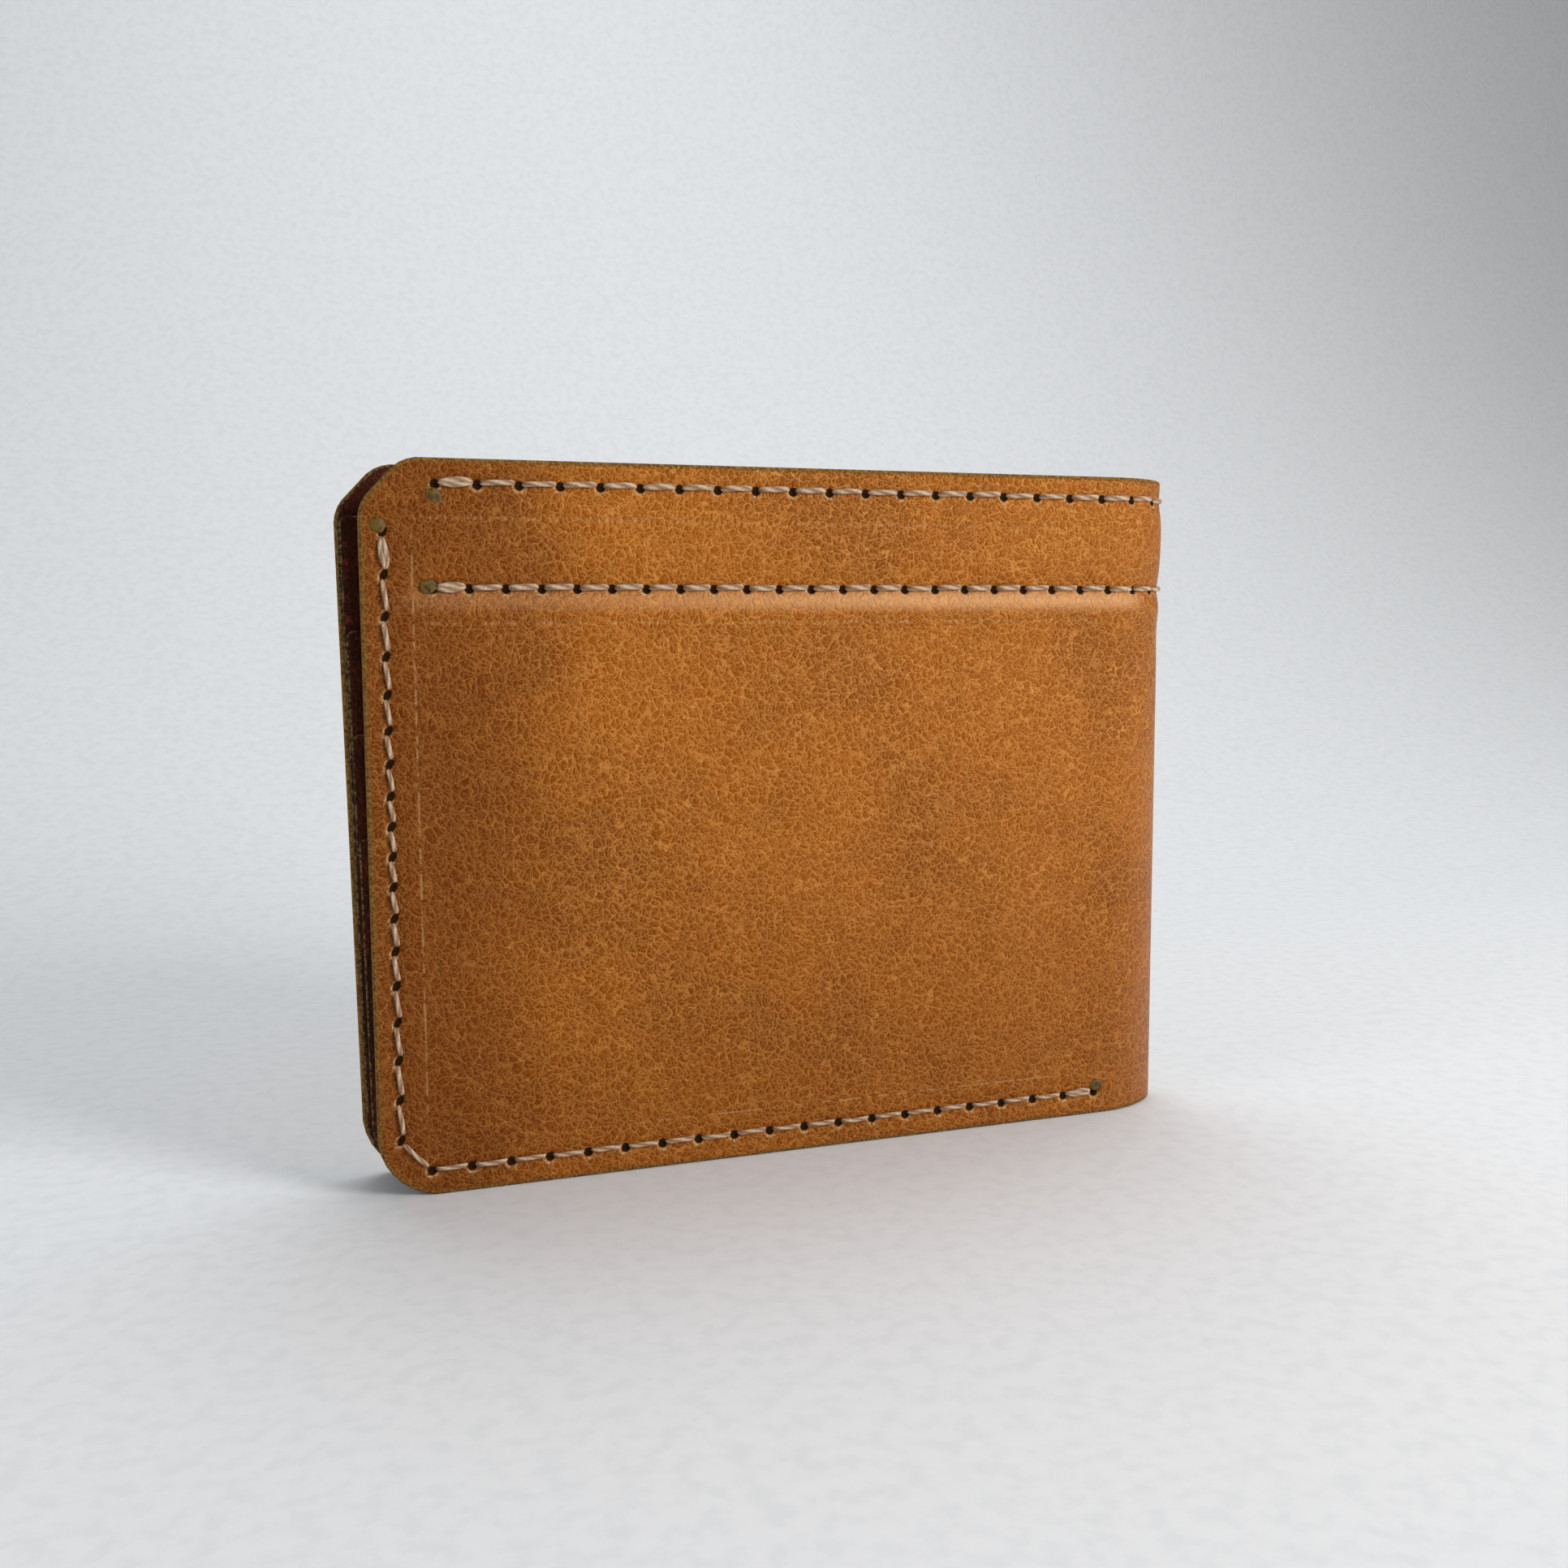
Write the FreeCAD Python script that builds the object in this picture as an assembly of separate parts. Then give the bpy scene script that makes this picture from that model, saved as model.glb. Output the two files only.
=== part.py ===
import FreeCAD, Part
import math
import os

# Bifold wallet in stitched leather, standing closed on its bottom edge. Millimetres.
# The fold is at +X and the open edges are at -X. The front cover faces -Y.
# The origin is the middle of the wallet's length and thickness, on the surface it stands on.
# Each half is drawn flat in its own frame and then turned into place:
#   X runs along the half from its open edge to where the cover starts to bend,
#   Y is the depth in from the cover's outer face, and Z is up.

V = FreeCAD.Vector

# Whole wallet
HEIGHT = 90.0
HALF_LENGTH = 101.2       # open edge to the start of the bend
THICK_AT_EDGE = 11.0      # both halves together, at the open edges
THICK_AT_FOLD = 15.0      # both halves together, at the start of the bend
CORNER_RADIUS = 8.0       # the lower outer corner of each half
CHAMFER_LENGTH = 5.2      # the upper outer corner is cut off at a slant
CHAMFER_HEIGHT = 5.6
CHAMFER_ROUND = 5.0
OVERHANG_LOW = 0.7        # how far the back half reaches past the front one, at the bottom
OVERHANG_HIGH = 1.9       # the same at the top, because the halves don't quite line up

# The bend is an easy flank on each side of a tighter nose
FLANK_RADIUS = 14.0
FLANK_TURN = math.radians(42.0)

# Plies, from the outer face inwards
COVER_THICK = 1.4
BAND_THICK = 0.6
PANEL_DEPTH = 2.4         # leaves room for the second row's thread inside the bill compartment
PANEL_THICK = 0.6
PLY_THICK = 0.6
PLY_GAP = 0.05
SLOT_UPPER_DEPTH = PANEL_DEPTH + PANEL_THICK + PLY_GAP
SLOT_LOWER_DEPTH = SLOT_UPPER_DEPTH + PLY_THICK + PLY_GAP
POCKET_DEPTH = SLOT_LOWER_DEPTH + PLY_THICK + PLY_GAP

# Heights of the plies' edges
BAND_LOW = 70.4
PANEL_TOP = 83.5
SLOT_UPPER_TOP = 69.6
SLOT_LOWER_TOP = 56.9
POCKET_TOP = 44.1
ARM_HEIGHT = 15.0         # the wide part of a T-shaped slot ply
STEM_UPPER_LOW = 24.0
STEM_LOWER_LOW = 12.0
STEM_SIDE = 12.0          # from a half's edge to the side of a stem
STEM_CORNER = 4.0
PLY_CORNER = 1.0

# How far each ply's edge stands in from the cover's edge
BAND_INSET = 0.15
PANEL_INSET = 0.3
SLOT_INSET = 0.5
POCKET_INSET = 0.7
PANEL_END = HALF_LENGTH - 0.6
SLOT_END = HALF_LENGTH - 1.0
POCKET_END = HALF_LENGTH - 1.4

# Stitching
THREAD_RADIUS = 0.35      # thread lying on a face, sunk to its middle
LEG_RADIUS = 0.3          # thread passing through a hole
HOLE_RADIUS = 0.45
KNOT_RADIUS = 0.65        # the bead at a thread's melted end
TOP_ROW_END = (-0.2, -1.5)     # from a row's end hole to its bead
BAND_ROW_END = (-0.5, 0.2)
COLUMN_END = (-0.6, 0.8)
BOTTOM_END = (0.3, 1.0)
TOP_ROW_Z = 87.0
TOP_ROW_START = 9.0
TOP_ROW_PITCH = 5.03
TOP_ROW_STITCHES = 42
BAND_ROW_Z = 74.6
BAND_ROW_START = 8.4      # keeps every hole clear of the start of the bend
BAND_ROW_PITCH = 4.396
BAND_ROW_STITCHES = 49
COLUMN_INSET = 2.8
COLUMN_HIGH = 81.2
COLUMN_LOW = 7.3
COLUMN_STITCHES = 17
COLUMN_DRIFT = 1.9        # hand-set stitches bunch below the middle of the column
BOTTOM_ROW_START = 6.4
BOTTOM_ROW_Z = 3.2
BOTTOM_ROW_PITCH = 4.905
BOTTOM_ROW_STITCHES = 19
POCKET_ROW_X = 97.2
POCKET_ROW_LOW = 7.5
POCKET_ROW_PITCH = 4.6
POCKET_ROW_STITCHES = 13
STEM_ROW_PITCH = 5.0
STEM_ROW_STITCHES = 14
STEM_ROW_RISE = 1.8       # a stem's stitches above its lower edge
EXTRA = 1.0               # how far a hole's tool passes each face

# Worked out from the sizes above
WEDGE = math.asin((THICK_AT_FOLD - THICK_AT_EDGE) / 2 / HALF_LENGTH)
FLANK_END = FLANK_TURN - WEDGE
FLANK_RISE = FLANK_RADIUS * (math.cos(WEDGE) - math.cos(FLANK_END))
NOSE_RADIUS = (THICK_AT_FOLD / 2 - FLANK_RISE) / math.cos(FLANK_END)
FLANK_REACH = FLANK_RADIUS * (math.sin(WEDGE) + math.sin(FLANK_END))
NOSE_REACH = NOSE_RADIUS * (1 - math.sin(FLANK_END))
FOLD_REACH = HALF_LENGTH * math.cos(WEDGE) + FLANK_REACH + NOSE_REACH
FLANK_LENGTH = FLANK_RADIUS * FLANK_TURN
NOSE_LENGTH = NOSE_RADIUS * (math.pi / 2 - FLANK_END)
BEND_LENGTH = FLANK_LENGTH + NOSE_LENGTH      # start of the bend to the tip of the nose


# ---- flat shapes -------------------------------------------------------------------

def rounded_outline(corners):
    """A closed wire in the XZ plane. Each corner is (x, z, radius)."""
    edges = []
    joints = []
    for i, (x, z, radius) in enumerate(corners):
        corner = V(x, 0, z)
        before = V(corners[i - 1][0], 0, corners[i - 1][1])
        after = V(corners[(i + 1) % len(corners)][0], 0, corners[(i + 1) % len(corners)][1])
        if radius == 0:
            joints.append((corner, corner))
            continue
        back = (before - corner).normalize()
        ahead = (after - corner).normalize()
        half_angle = back.getAngle(ahead) / 2
        start = corner + back * (radius / math.tan(half_angle))
        end = corner + ahead * (radius / math.tan(half_angle))
        bisector = (back + ahead).normalize()
        middle = corner + bisector * (radius / math.sin(half_angle) - radius)
        edges.append(Part.Arc(start, middle, end).toShape())
        joints.append((start, end))
    for i, (start, _) in enumerate(joints):
        edges.append(Part.LineSegment(joints[i - 1][1], start).toShape())
    return Part.Wire(Part.__sortEdges__(edges))


def plate(corners, depth, thickness):
    """A flat ply with a rounded outline, its outer face at the given depth."""
    sheet = Part.Face(rounded_outline(corners)).extrude(V(0, thickness, 0))
    return sheet.translated(V(0, depth, 0))


def open_edge(z, overhang):
    """Where the cover's open edge is at height z. overhang is (at the bottom, at the top)."""
    low, high = overhang
    return -(low + (high - low) * z / HEIGHT)


def sheet_corners(low, high, inset, end, overhang, radius_low):
    """Corners of a ply from the open edge to end, between two heights."""
    return [
        (end, low, 0),
        (open_edge(low, overhang) + inset, low, radius_low),
        (open_edge(high, overhang) + inset, high, PLY_CORNER),
        (end, high, 0),
    ]


def cut_corner(corners):
    """The same ply with its upper outer corner cut off at a slant."""
    right_low, left_low, (x, high, _), right_high = corners
    return [
        right_low,
        left_low,
        (x, high - CHAMFER_HEIGHT, CHAMFER_ROUND),
        (x + CHAMFER_LENGTH, high, CHAMFER_ROUND),
        right_high,
    ]


def slot_corners(top, stem_low, overhang):
    """Corners of a T-shaped slot ply: wide arms at the top and a narrower stem below."""
    arm_low = top - ARM_HEIGHT
    stem_left = open_edge(arm_low, overhang) + STEM_SIDE
    stem_right = SLOT_END - STEM_SIDE
    return [
        (SLOT_END, arm_low, PLY_CORNER),
        (stem_right, arm_low, STEM_CORNER),
        (stem_right, stem_low, PLY_CORNER),
        (stem_left, stem_low, PLY_CORNER),
        (stem_left, arm_low, STEM_CORNER),
        (open_edge(arm_low, overhang) + SLOT_INSET, arm_low, PLY_CORNER),
        (open_edge(top, overhang) + SLOT_INSET, top, PLY_CORNER),
        (SLOT_END, top, PLY_CORNER),
    ]


# ---- stitch holes, as (x, z) in a half's own frame ---------------------------------------

def row_holes(start, z, pitch, stitches):
    """Holes of a level row."""
    return [(start + pitch * k, z) for k in range(stitches + 1)]


def cross_row_places(start, pitch, stitches):
    """Places of a row that runs on round the fold, as lengths from the front open edge."""
    return [start + pitch * k for k in range(stitches + 1)]


def column_holes(overhang):
    """Holes down the open edge, from the top. They bunch a little below the middle."""
    step = (COLUMN_HIGH - COLUMN_LOW) / COLUMN_STITCHES
    holes = []
    for k in range(COLUMN_STITCHES + 1):
        drift = COLUMN_DRIFT * math.sin(2 * math.pi * k / COLUMN_STITCHES)
        z = COLUMN_HIGH - step * k - drift
        holes.append((open_edge(z, overhang) + COLUMN_INSET, z))
    return holes


def edge_holes(overhang):
    """Holes down the open edge and then along the bottom edge."""
    bottom = row_holes(BOTTOM_ROW_START, BOTTOM_ROW_Z, BOTTOM_ROW_PITCH, BOTTOM_ROW_STITCHES)
    return column_holes(overhang) + bottom


def pocket_holes():
    """Holes that close the card slots' end nearest the fold."""
    return [(POCKET_ROW_X, POCKET_ROW_LOW + POCKET_ROW_PITCH * k) for k in range(POCKET_ROW_STITCHES + 1)]


def stem_holes(stem_low):
    """Holes along the foot of a slot ply's stem, which stop a card at its right depth."""
    length = STEM_ROW_PITCH * STEM_ROW_STITCHES
    return row_holes((SLOT_END - length) / 2, stem_low + STEM_ROW_RISE, STEM_ROW_PITCH, STEM_ROW_STITCHES)


def half_holes_of(places, z, is_back):
    """The holes of a row round the fold that lie on one half."""
    whole = 2 * (HALF_LENGTH + BEND_LENGTH)
    if is_back:
        places = [whole - place for place in places]
    return [(place, z) for place in places if place < HALF_LENGTH]


def pierce(ply, holes, depth, thickness):
    """Cut the stitch holes that fall on a flat ply."""
    box = ply.BoundBox
    tools = []
    for x, z in holes:
        if box.XMin < x < box.XMax and box.ZMin < z < box.ZMax:
            start = V(x, depth - EXTRA, z)
            tools.append(Part.makeCylinder(HOLE_RADIUS, thickness + 2 * EXTRA, start, V(0, 1, 0)))
    return ply.cut(Part.makeCompound(tools)) if tools else ply


# ---- thread ------------------------------------------------------------------------

def tube(points, radius):
    """Straight round tubes through the points, with a ball at each turn."""
    solids = []
    turns = [points[0]]
    for before, here, after in zip(points, points[1:], points[2:]):
        if (here - before).getAngle(after - here) > 1e-6:
            turns.append(here)
    turns.append(points[-1])
    for start, end in zip(turns, turns[1:]):
        solids.append(Part.makeCylinder(radius, start.distanceToPoint(end), start, end - start))
    for turn in turns[1:-1]:
        solids.append(Part.makeSphere(radius, turn))
    return solids


def join(solids):
    """One solid from overlapping ones."""
    joined = solids[0].multiFuse(solids[1:]).removeSplitter()
    return joined.Solids[0] if len(joined.Solids) == 1 else joined


def inner_depth(z):
    """Depth of the innermost leather face at height z, near a half's edges."""
    if z < POCKET_TOP:
        return POCKET_DEPTH + PLY_THICK
    if z < SLOT_LOWER_TOP:
        return SLOT_LOWER_DEPTH + PLY_THICK
    if z < SLOT_UPPER_TOP:
        return SLOT_UPPER_DEPTH + PLY_THICK
    return PANEL_DEPTH + PANEL_THICK


def melted_end(hole, offset):
    """A thread's tail from its last hole, melted to a bead on the cover's face."""
    x, z = hole
    start = V(x, 0, z)
    bead = V(x + offset[0], 0, z + offset[1])
    return tube([start, bead], LEG_RADIUS) + [Part.makeSphere(KNOT_RADIUS, bead)]


def stitching(holes, outer_depths, inner_depths, ends=(), run_on=None):
    """Thread on both faces of the leather, joined through every hole.

    ends are the melted ends, each (hole, offset). run_on is where the thread runs on to past
    its last hole, or None.
    """
    outer = [V(x, depth, z) for (x, z), depth in zip(holes, outer_depths)]
    inner = [V(x, depth, z) for (x, z), depth in zip(holes, inner_depths)]
    legs = [
        Part.makeCylinder(LEG_RADIUS, start.distanceToPoint(end), start, end - start)
        for start, end in zip(outer, inner)
    ]
    if run_on is not None:
        for line in (outer, inner):
            line.append(V(run_on, line[-1].y, line[-1].z))
    melted = [solid for hole, offset in ends for solid in melted_end(hole, offset)]
    return join(tube(outer, THREAD_RADIUS) + tube(inner, THREAD_RADIUS) + legs + melted)


# ---- the bend ----------------------------------------------------------------------

def bend_point(heading, depth):
    """A point of the bend, with its open edge at X = 0.

    heading is the cover's direction there: -WEDGE where the front half ends, a right angle
    at the tip of the nose, and then on to the back half.
    """
    if heading > math.pi / 2:
        front = bend_point(math.pi - heading, depth)
        return V(front.x, -front.y, 0)
    nose = V(FOLD_REACH - NOSE_RADIUS, 0, 0)
    outwards = V(math.sin(heading), -math.cos(heading), 0)
    if heading >= FLANK_END:
        return nose + outwards * (NOSE_RADIUS - depth)
    flank = nose - V(math.sin(FLANK_END), -math.cos(FLANK_END), 0) * (FLANK_RADIUS - NOSE_RADIUS)
    return flank + outwards * (FLANK_RADIUS - depth)


def heading_at(length):
    """The cover's direction at a length along the bend from the front half."""
    if length > BEND_LENGTH:
        return math.pi - heading_at(2 * BEND_LENGTH - length)
    if length > FLANK_LENGTH:
        return FLANK_END + (length - FLANK_LENGTH) / NOSE_RADIUS
    return length / FLANK_RADIUS - WEDGE


def bend_edges(depth):
    """The bend's line at a depth, as flank, nose and flank."""
    breaks = [-WEDGE, FLANK_END, math.pi - FLANK_END, math.pi + WEDGE]
    edges = []
    for start, end in zip(breaks, breaks[1:]):
        middle = (start + end) / 2
        points = [bend_point(heading, depth) for heading in (start, middle, end)]
        edges.append(Part.Arc(*points).toShape())
    return edges


def bend_strip(depth, thickness, low, high):
    """A ply that runs round the bend."""
    outer = bend_edges(depth)
    inner = bend_edges(depth + thickness)
    front_end = Part.LineSegment(bend_point(-WEDGE, depth), bend_point(-WEDGE, depth + thickness)).toShape()
    back_end = Part.LineSegment(
        bend_point(math.pi + WEDGE, depth), bend_point(math.pi + WEDGE, depth + thickness)
    ).toShape()
    wire = Part.Wire(Part.__sortEdges__(outer + [back_end] + inner + [front_end]))
    return Part.Face(wire).extrude(V(0, 0, high - low)).translated(V(0, 0, low))


def bend_places(places):
    """The places of a row that lie on the bend, as lengths along the bend."""
    lengths = [place - HALF_LENGTH for place in places]
    return [length for length in lengths if 0 < length < 2 * BEND_LENGTH]


def bend_leg(length, z, start_depth, end_depth, radius):
    """A cylinder through the bend, square to its face."""
    heading = heading_at(length)
    start = bend_point(heading, start_depth) + V(0, 0, z)
    end = bend_point(heading, end_depth) + V(0, 0, z)
    return Part.makeCylinder(radius, start.distanceToPoint(end), start, end - start)


def pierce_bend(strip, rows, depth, thickness):
    """Cut the holes of rows, each (places, height), through a ply on the bend."""
    tools = []
    for places, z in rows:
        for length in bend_places(places):
            tools.append(bend_leg(length, z, depth - EXTRA, depth + thickness + EXTRA, HOLE_RADIUS))
    return strip.cut(Part.makeCompound(tools))


def bend_line(depth, z):
    """Thread lying along the bend."""
    solids = []
    for edge in bend_edges(depth):
        path = Part.Wire([edge]).translated(V(0, 0, z))
        start = path.Edges[0].valueAt(path.Edges[0].FirstParameter)
        direction = path.Edges[0].tangentAt(path.Edges[0].FirstParameter)
        ring = Part.Wire([Part.makeCircle(THREAD_RADIUS, start, direction)])
        solids.append(path.makePipeShell([ring], True, False))
    return solids


def bend_stitching(places, z):
    """Thread of one row where it runs round the bend, through the cover and the band."""
    inner = COVER_THICK + BAND_THICK
    legs = [bend_leg(length, z, 0, inner, LEG_RADIUS) for length in bend_places(places)]
    return join(bend_line(0, z) + bend_line(inner, z) + legs)


# ---- one half ----------------------------------------------------------------------

def half_parts(side, overhang, is_back, top_row, band_row):
    """All the pieces of one half, flat in the half's own frame."""
    top_holes = half_holes_of(top_row, TOP_ROW_Z, is_back)
    band_holes = half_holes_of(band_row, BAND_ROW_Z, is_back)
    edge = edge_holes(overhang)
    pocket_seam = pocket_holes()
    stem_upper = stem_holes(STEM_UPPER_LOW)
    stem_lower = stem_holes(STEM_LOWER_LOW)
    through_all = edge + pocket_seam

    cover = plate(
        cut_corner(sheet_corners(0, HEIGHT, 0, HALF_LENGTH, overhang, CORNER_RADIUS)), 0, COVER_THICK)
    band = plate(
        cut_corner(sheet_corners(BAND_LOW, HEIGHT - BAND_INSET, BAND_INSET, HALF_LENGTH, overhang, 0)),
        COVER_THICK, BAND_THICK)
    panel = plate(
        sheet_corners(0, PANEL_TOP, PANEL_INSET, PANEL_END, overhang, CORNER_RADIUS),
        PANEL_DEPTH, PANEL_THICK)
    upper = plate(slot_corners(SLOT_UPPER_TOP, STEM_UPPER_LOW, overhang), SLOT_UPPER_DEPTH, PLY_THICK)
    lower = plate(slot_corners(SLOT_LOWER_TOP, STEM_LOWER_LOW, overhang), SLOT_LOWER_DEPTH, PLY_THICK)
    pocket = plate(
        sheet_corners(0, POCKET_TOP, POCKET_INSET, POCKET_END, overhang, CORNER_RADIUS),
        POCKET_DEPTH, PLY_THICK)

    stem_outer = [PANEL_DEPTH] * len(stem_upper)
    upper_inner = [SLOT_UPPER_DEPTH + PLY_THICK] * len(stem_upper)
    lower_inner = [SLOT_LOWER_DEPTH + PLY_THICK] * len(stem_lower)
    cover_and_band = COVER_THICK + BAND_THICK
    return {
        "cover_" + side: pierce(cover, top_holes + band_holes + edge, 0, COVER_THICK),
        "band_" + side: pierce(band, top_holes + band_holes + edge, COVER_THICK, BAND_THICK),
        "panel_" + side: pierce(
            panel, through_all + stem_upper + stem_lower, PANEL_DEPTH, PANEL_THICK),
        "slot_upper_" + side: pierce(upper, through_all + stem_upper, SLOT_UPPER_DEPTH, PLY_THICK),
        "slot_lower_" + side: pierce(lower, through_all + stem_lower, SLOT_LOWER_DEPTH, PLY_THICK),
        "pocket_" + side: pierce(pocket, through_all, POCKET_DEPTH, PLY_THICK),
        "thread_top_" + side: row_on_half(top_holes, cover_and_band, TOP_ROW_END),
        "thread_band_" + side: row_on_half(band_holes, cover_and_band, BAND_ROW_END),
        "thread_edge_" + side: stitching(
            edge, [0] * len(edge), [inner_depth(z) for _, z in edge],
            ends=[(edge[0], COLUMN_END), (edge[-1], BOTTOM_END)]),
        "thread_pockets_" + side: stitching(
            pocket_seam, [PANEL_DEPTH] * len(pocket_seam), [inner_depth(z) for _, z in pocket_seam]),
        "thread_stem_upper_" + side: stitching(stem_upper, stem_outer, upper_inner),
        "thread_stem_lower_" + side: stitching(stem_lower, stem_outer, lower_inner),
    }


def row_on_half(holes, depth, end_offset):
    """The thread of a row round the fold, as far as the start of the bend."""
    holes = sorted(holes)
    count = len(holes)
    return stitching(
        holes, [0] * count, [depth] * count, ends=[(holes[0], end_offset)], run_on=HALF_LENGTH)


def in_place(shape, is_back):
    """Turn a half's piece from its own frame to where it lies, with the open edges at X = 0."""
    shape = shape.rotated(V(0, 0, 0), V(0, 0, 1), -math.degrees(WEDGE))
    shape = shape.translated(V(0, -THICK_AT_EDGE / 2, 0))
    return shape.mirror(V(0, 0, 0), V(0, 1, 0)) if is_back else shape


def spine_parts(top_row, band_row):
    """The pieces that run round the fold, with the open edges at X = 0."""
    rows = [(top_row, TOP_ROW_Z), (band_row, BAND_ROW_Z)]
    cover = bend_strip(0, COVER_THICK, 0, HEIGHT)
    band = bend_strip(COVER_THICK, BAND_THICK, BAND_LOW, HEIGHT - BAND_INSET)
    return {
        "cover_spine": pierce_bend(cover, rows, 0, COVER_THICK),
        "band_spine": pierce_bend(band, rows, COVER_THICK, BAND_THICK),
        "thread_top_spine": bend_stitching(top_row, TOP_ROW_Z),
        "thread_band_spine": bend_stitching(band_row, BAND_ROW_Z),
    }


def fold_axis():
    """Where the front half turns against the spine, with the open edges at X = 0.

    Turning about this point by a right angle and the wedge lays the middle of the cover's
    thickness out straight, with its length round the bend kept.
    """
    middle = COVER_THICK / 2
    turn = math.pi / 2 + WEDGE
    folded = bend_point(-WEDGE, middle)
    tip = bend_point(math.pi / 2, middle)
    length = BEND_LENGTH - middle * turn
    flat = tip - V(0, length, 0)
    across = flat - folded
    square = V(-across.y, across.x, 0)
    return folded + across / 2 + square / (2 * math.tan(turn / 2))


def assemble():
    """Every piece of the wallet by its name, with the open edges at X = 0."""
    top_row = cross_row_places(TOP_ROW_START, TOP_ROW_PITCH, TOP_ROW_STITCHES)
    band_row = cross_row_places(BAND_ROW_START, BAND_ROW_PITCH, BAND_ROW_STITCHES)
    parts = {}
    for side, overhang, is_back in (("front", (0, 0), False), ("back", (OVERHANG_LOW, OVERHANG_HIGH), True)):
        for name, shape in half_parts(side, overhang, is_back, top_row, band_row).items():
            parts[name] = in_place(shape, is_back)
    parts.update(spine_parts(top_row, band_row))
    return parts


def main():
    """Build the pieces, centre the wallet on its length and write one file for each piece."""
    parts = assemble()
    left = parts["cover_back"].optimalBoundingBox(False).XMin
    right = FOLD_REACH + THREAD_RADIUS
    centring = V(-(left + right) / 2, 0, 0)
    os.makedirs("parts", exist_ok=True)
    for name, shape in parts.items():
        shape.translated(centring).exportStep("parts/" + name + ".step")
        print(name, "solids", len(shape.Solids), "volume", round(shape.Volume, 1), "valid", shape.isValid())
    axis = fold_axis() + centring
    print("front open edge at X", round(centring.x, 4), "wedge", round(math.degrees(WEDGE), 4), "degrees")
    print("fold axes at X", round(axis.x, 4), "Y", round(axis.y, 4), "and", round(-axis.y, 4))
    print("length", round(right - left, 3), "open edge at", round(left, 4), "nose at", round(right, 4))


main()
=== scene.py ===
import logging
import math
import random
from contextlib import contextmanager
from dataclasses import dataclass, field
from enum import Enum
from typing import Any, Callable, Iterator, Sequence

import bpy
import numpy as np
from mathutils import Matrix, Vector


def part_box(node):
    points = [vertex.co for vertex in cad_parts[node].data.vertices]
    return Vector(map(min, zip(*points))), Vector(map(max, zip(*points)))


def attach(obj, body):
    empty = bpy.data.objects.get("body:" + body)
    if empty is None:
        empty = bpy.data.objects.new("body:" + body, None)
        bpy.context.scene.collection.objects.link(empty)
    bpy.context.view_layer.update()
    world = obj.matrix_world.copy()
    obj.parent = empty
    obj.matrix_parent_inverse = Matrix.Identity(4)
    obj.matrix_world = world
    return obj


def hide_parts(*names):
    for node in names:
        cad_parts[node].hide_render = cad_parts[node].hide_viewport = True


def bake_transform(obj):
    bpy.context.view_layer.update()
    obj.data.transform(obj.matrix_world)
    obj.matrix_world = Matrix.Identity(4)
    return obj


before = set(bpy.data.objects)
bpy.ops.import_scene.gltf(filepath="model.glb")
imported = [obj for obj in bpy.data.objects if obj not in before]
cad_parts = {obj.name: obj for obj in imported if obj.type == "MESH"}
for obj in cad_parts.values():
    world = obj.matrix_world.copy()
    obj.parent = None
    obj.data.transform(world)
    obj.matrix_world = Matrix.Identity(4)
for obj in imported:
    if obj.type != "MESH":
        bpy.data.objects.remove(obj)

# A closed bifold wallet of stitched leather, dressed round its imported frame.
#
# Each leather piece and each row of stitches is drawn flat and then folded into place:
#   s is the length along the hide's outer face from a half's open edge,
#   z is the height, and d is the depth in from the hide's outer face.
# Flat places and sizes are in millimetres. Everything that Blender holds is in metres.

MM = 0.001
WELD = 0.02 * MM                       # points nearer than this become one
SNAP = 1e-6                            # how near a cut has to pass to use a point
CORNER_STEP = math.radians(11.0)       # turn of each small cut round a corner
LOG = logging.getLogger("wallet")

Place = tuple[float, float]                  # s and z
Corner = tuple[float, float, float]          # s, z and radius
Box = tuple[float, float, float, float]      # s from, s to, z from and z to
Colour = tuple[float, float, float, float]
Socket = bpy.types.NodeSocket


class Side(Enum):
    """The two halves of the wallet, with the sign that their Y is turned by."""

    FRONT = 1.0
    BACK = -1.0

    @property
    def word(self) -> str:
        """The half's name as it is used in the names of pieces."""
        return self.name.lower()

    @property
    def body(self) -> str:
        """The body that the half's flat pieces ride on."""
        return self.word + "_half"


class Fastening(Enum):
    """How a stitch lies between its holes."""

    LEVEL = "level"        # sewn by an awl held upright: each stitch lies straight
    SLANTED = "slanted"    # sewn by a slanted awl: each stitch leans across the line


# ---- sizes -------------------------------------------------------------------------------

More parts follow.
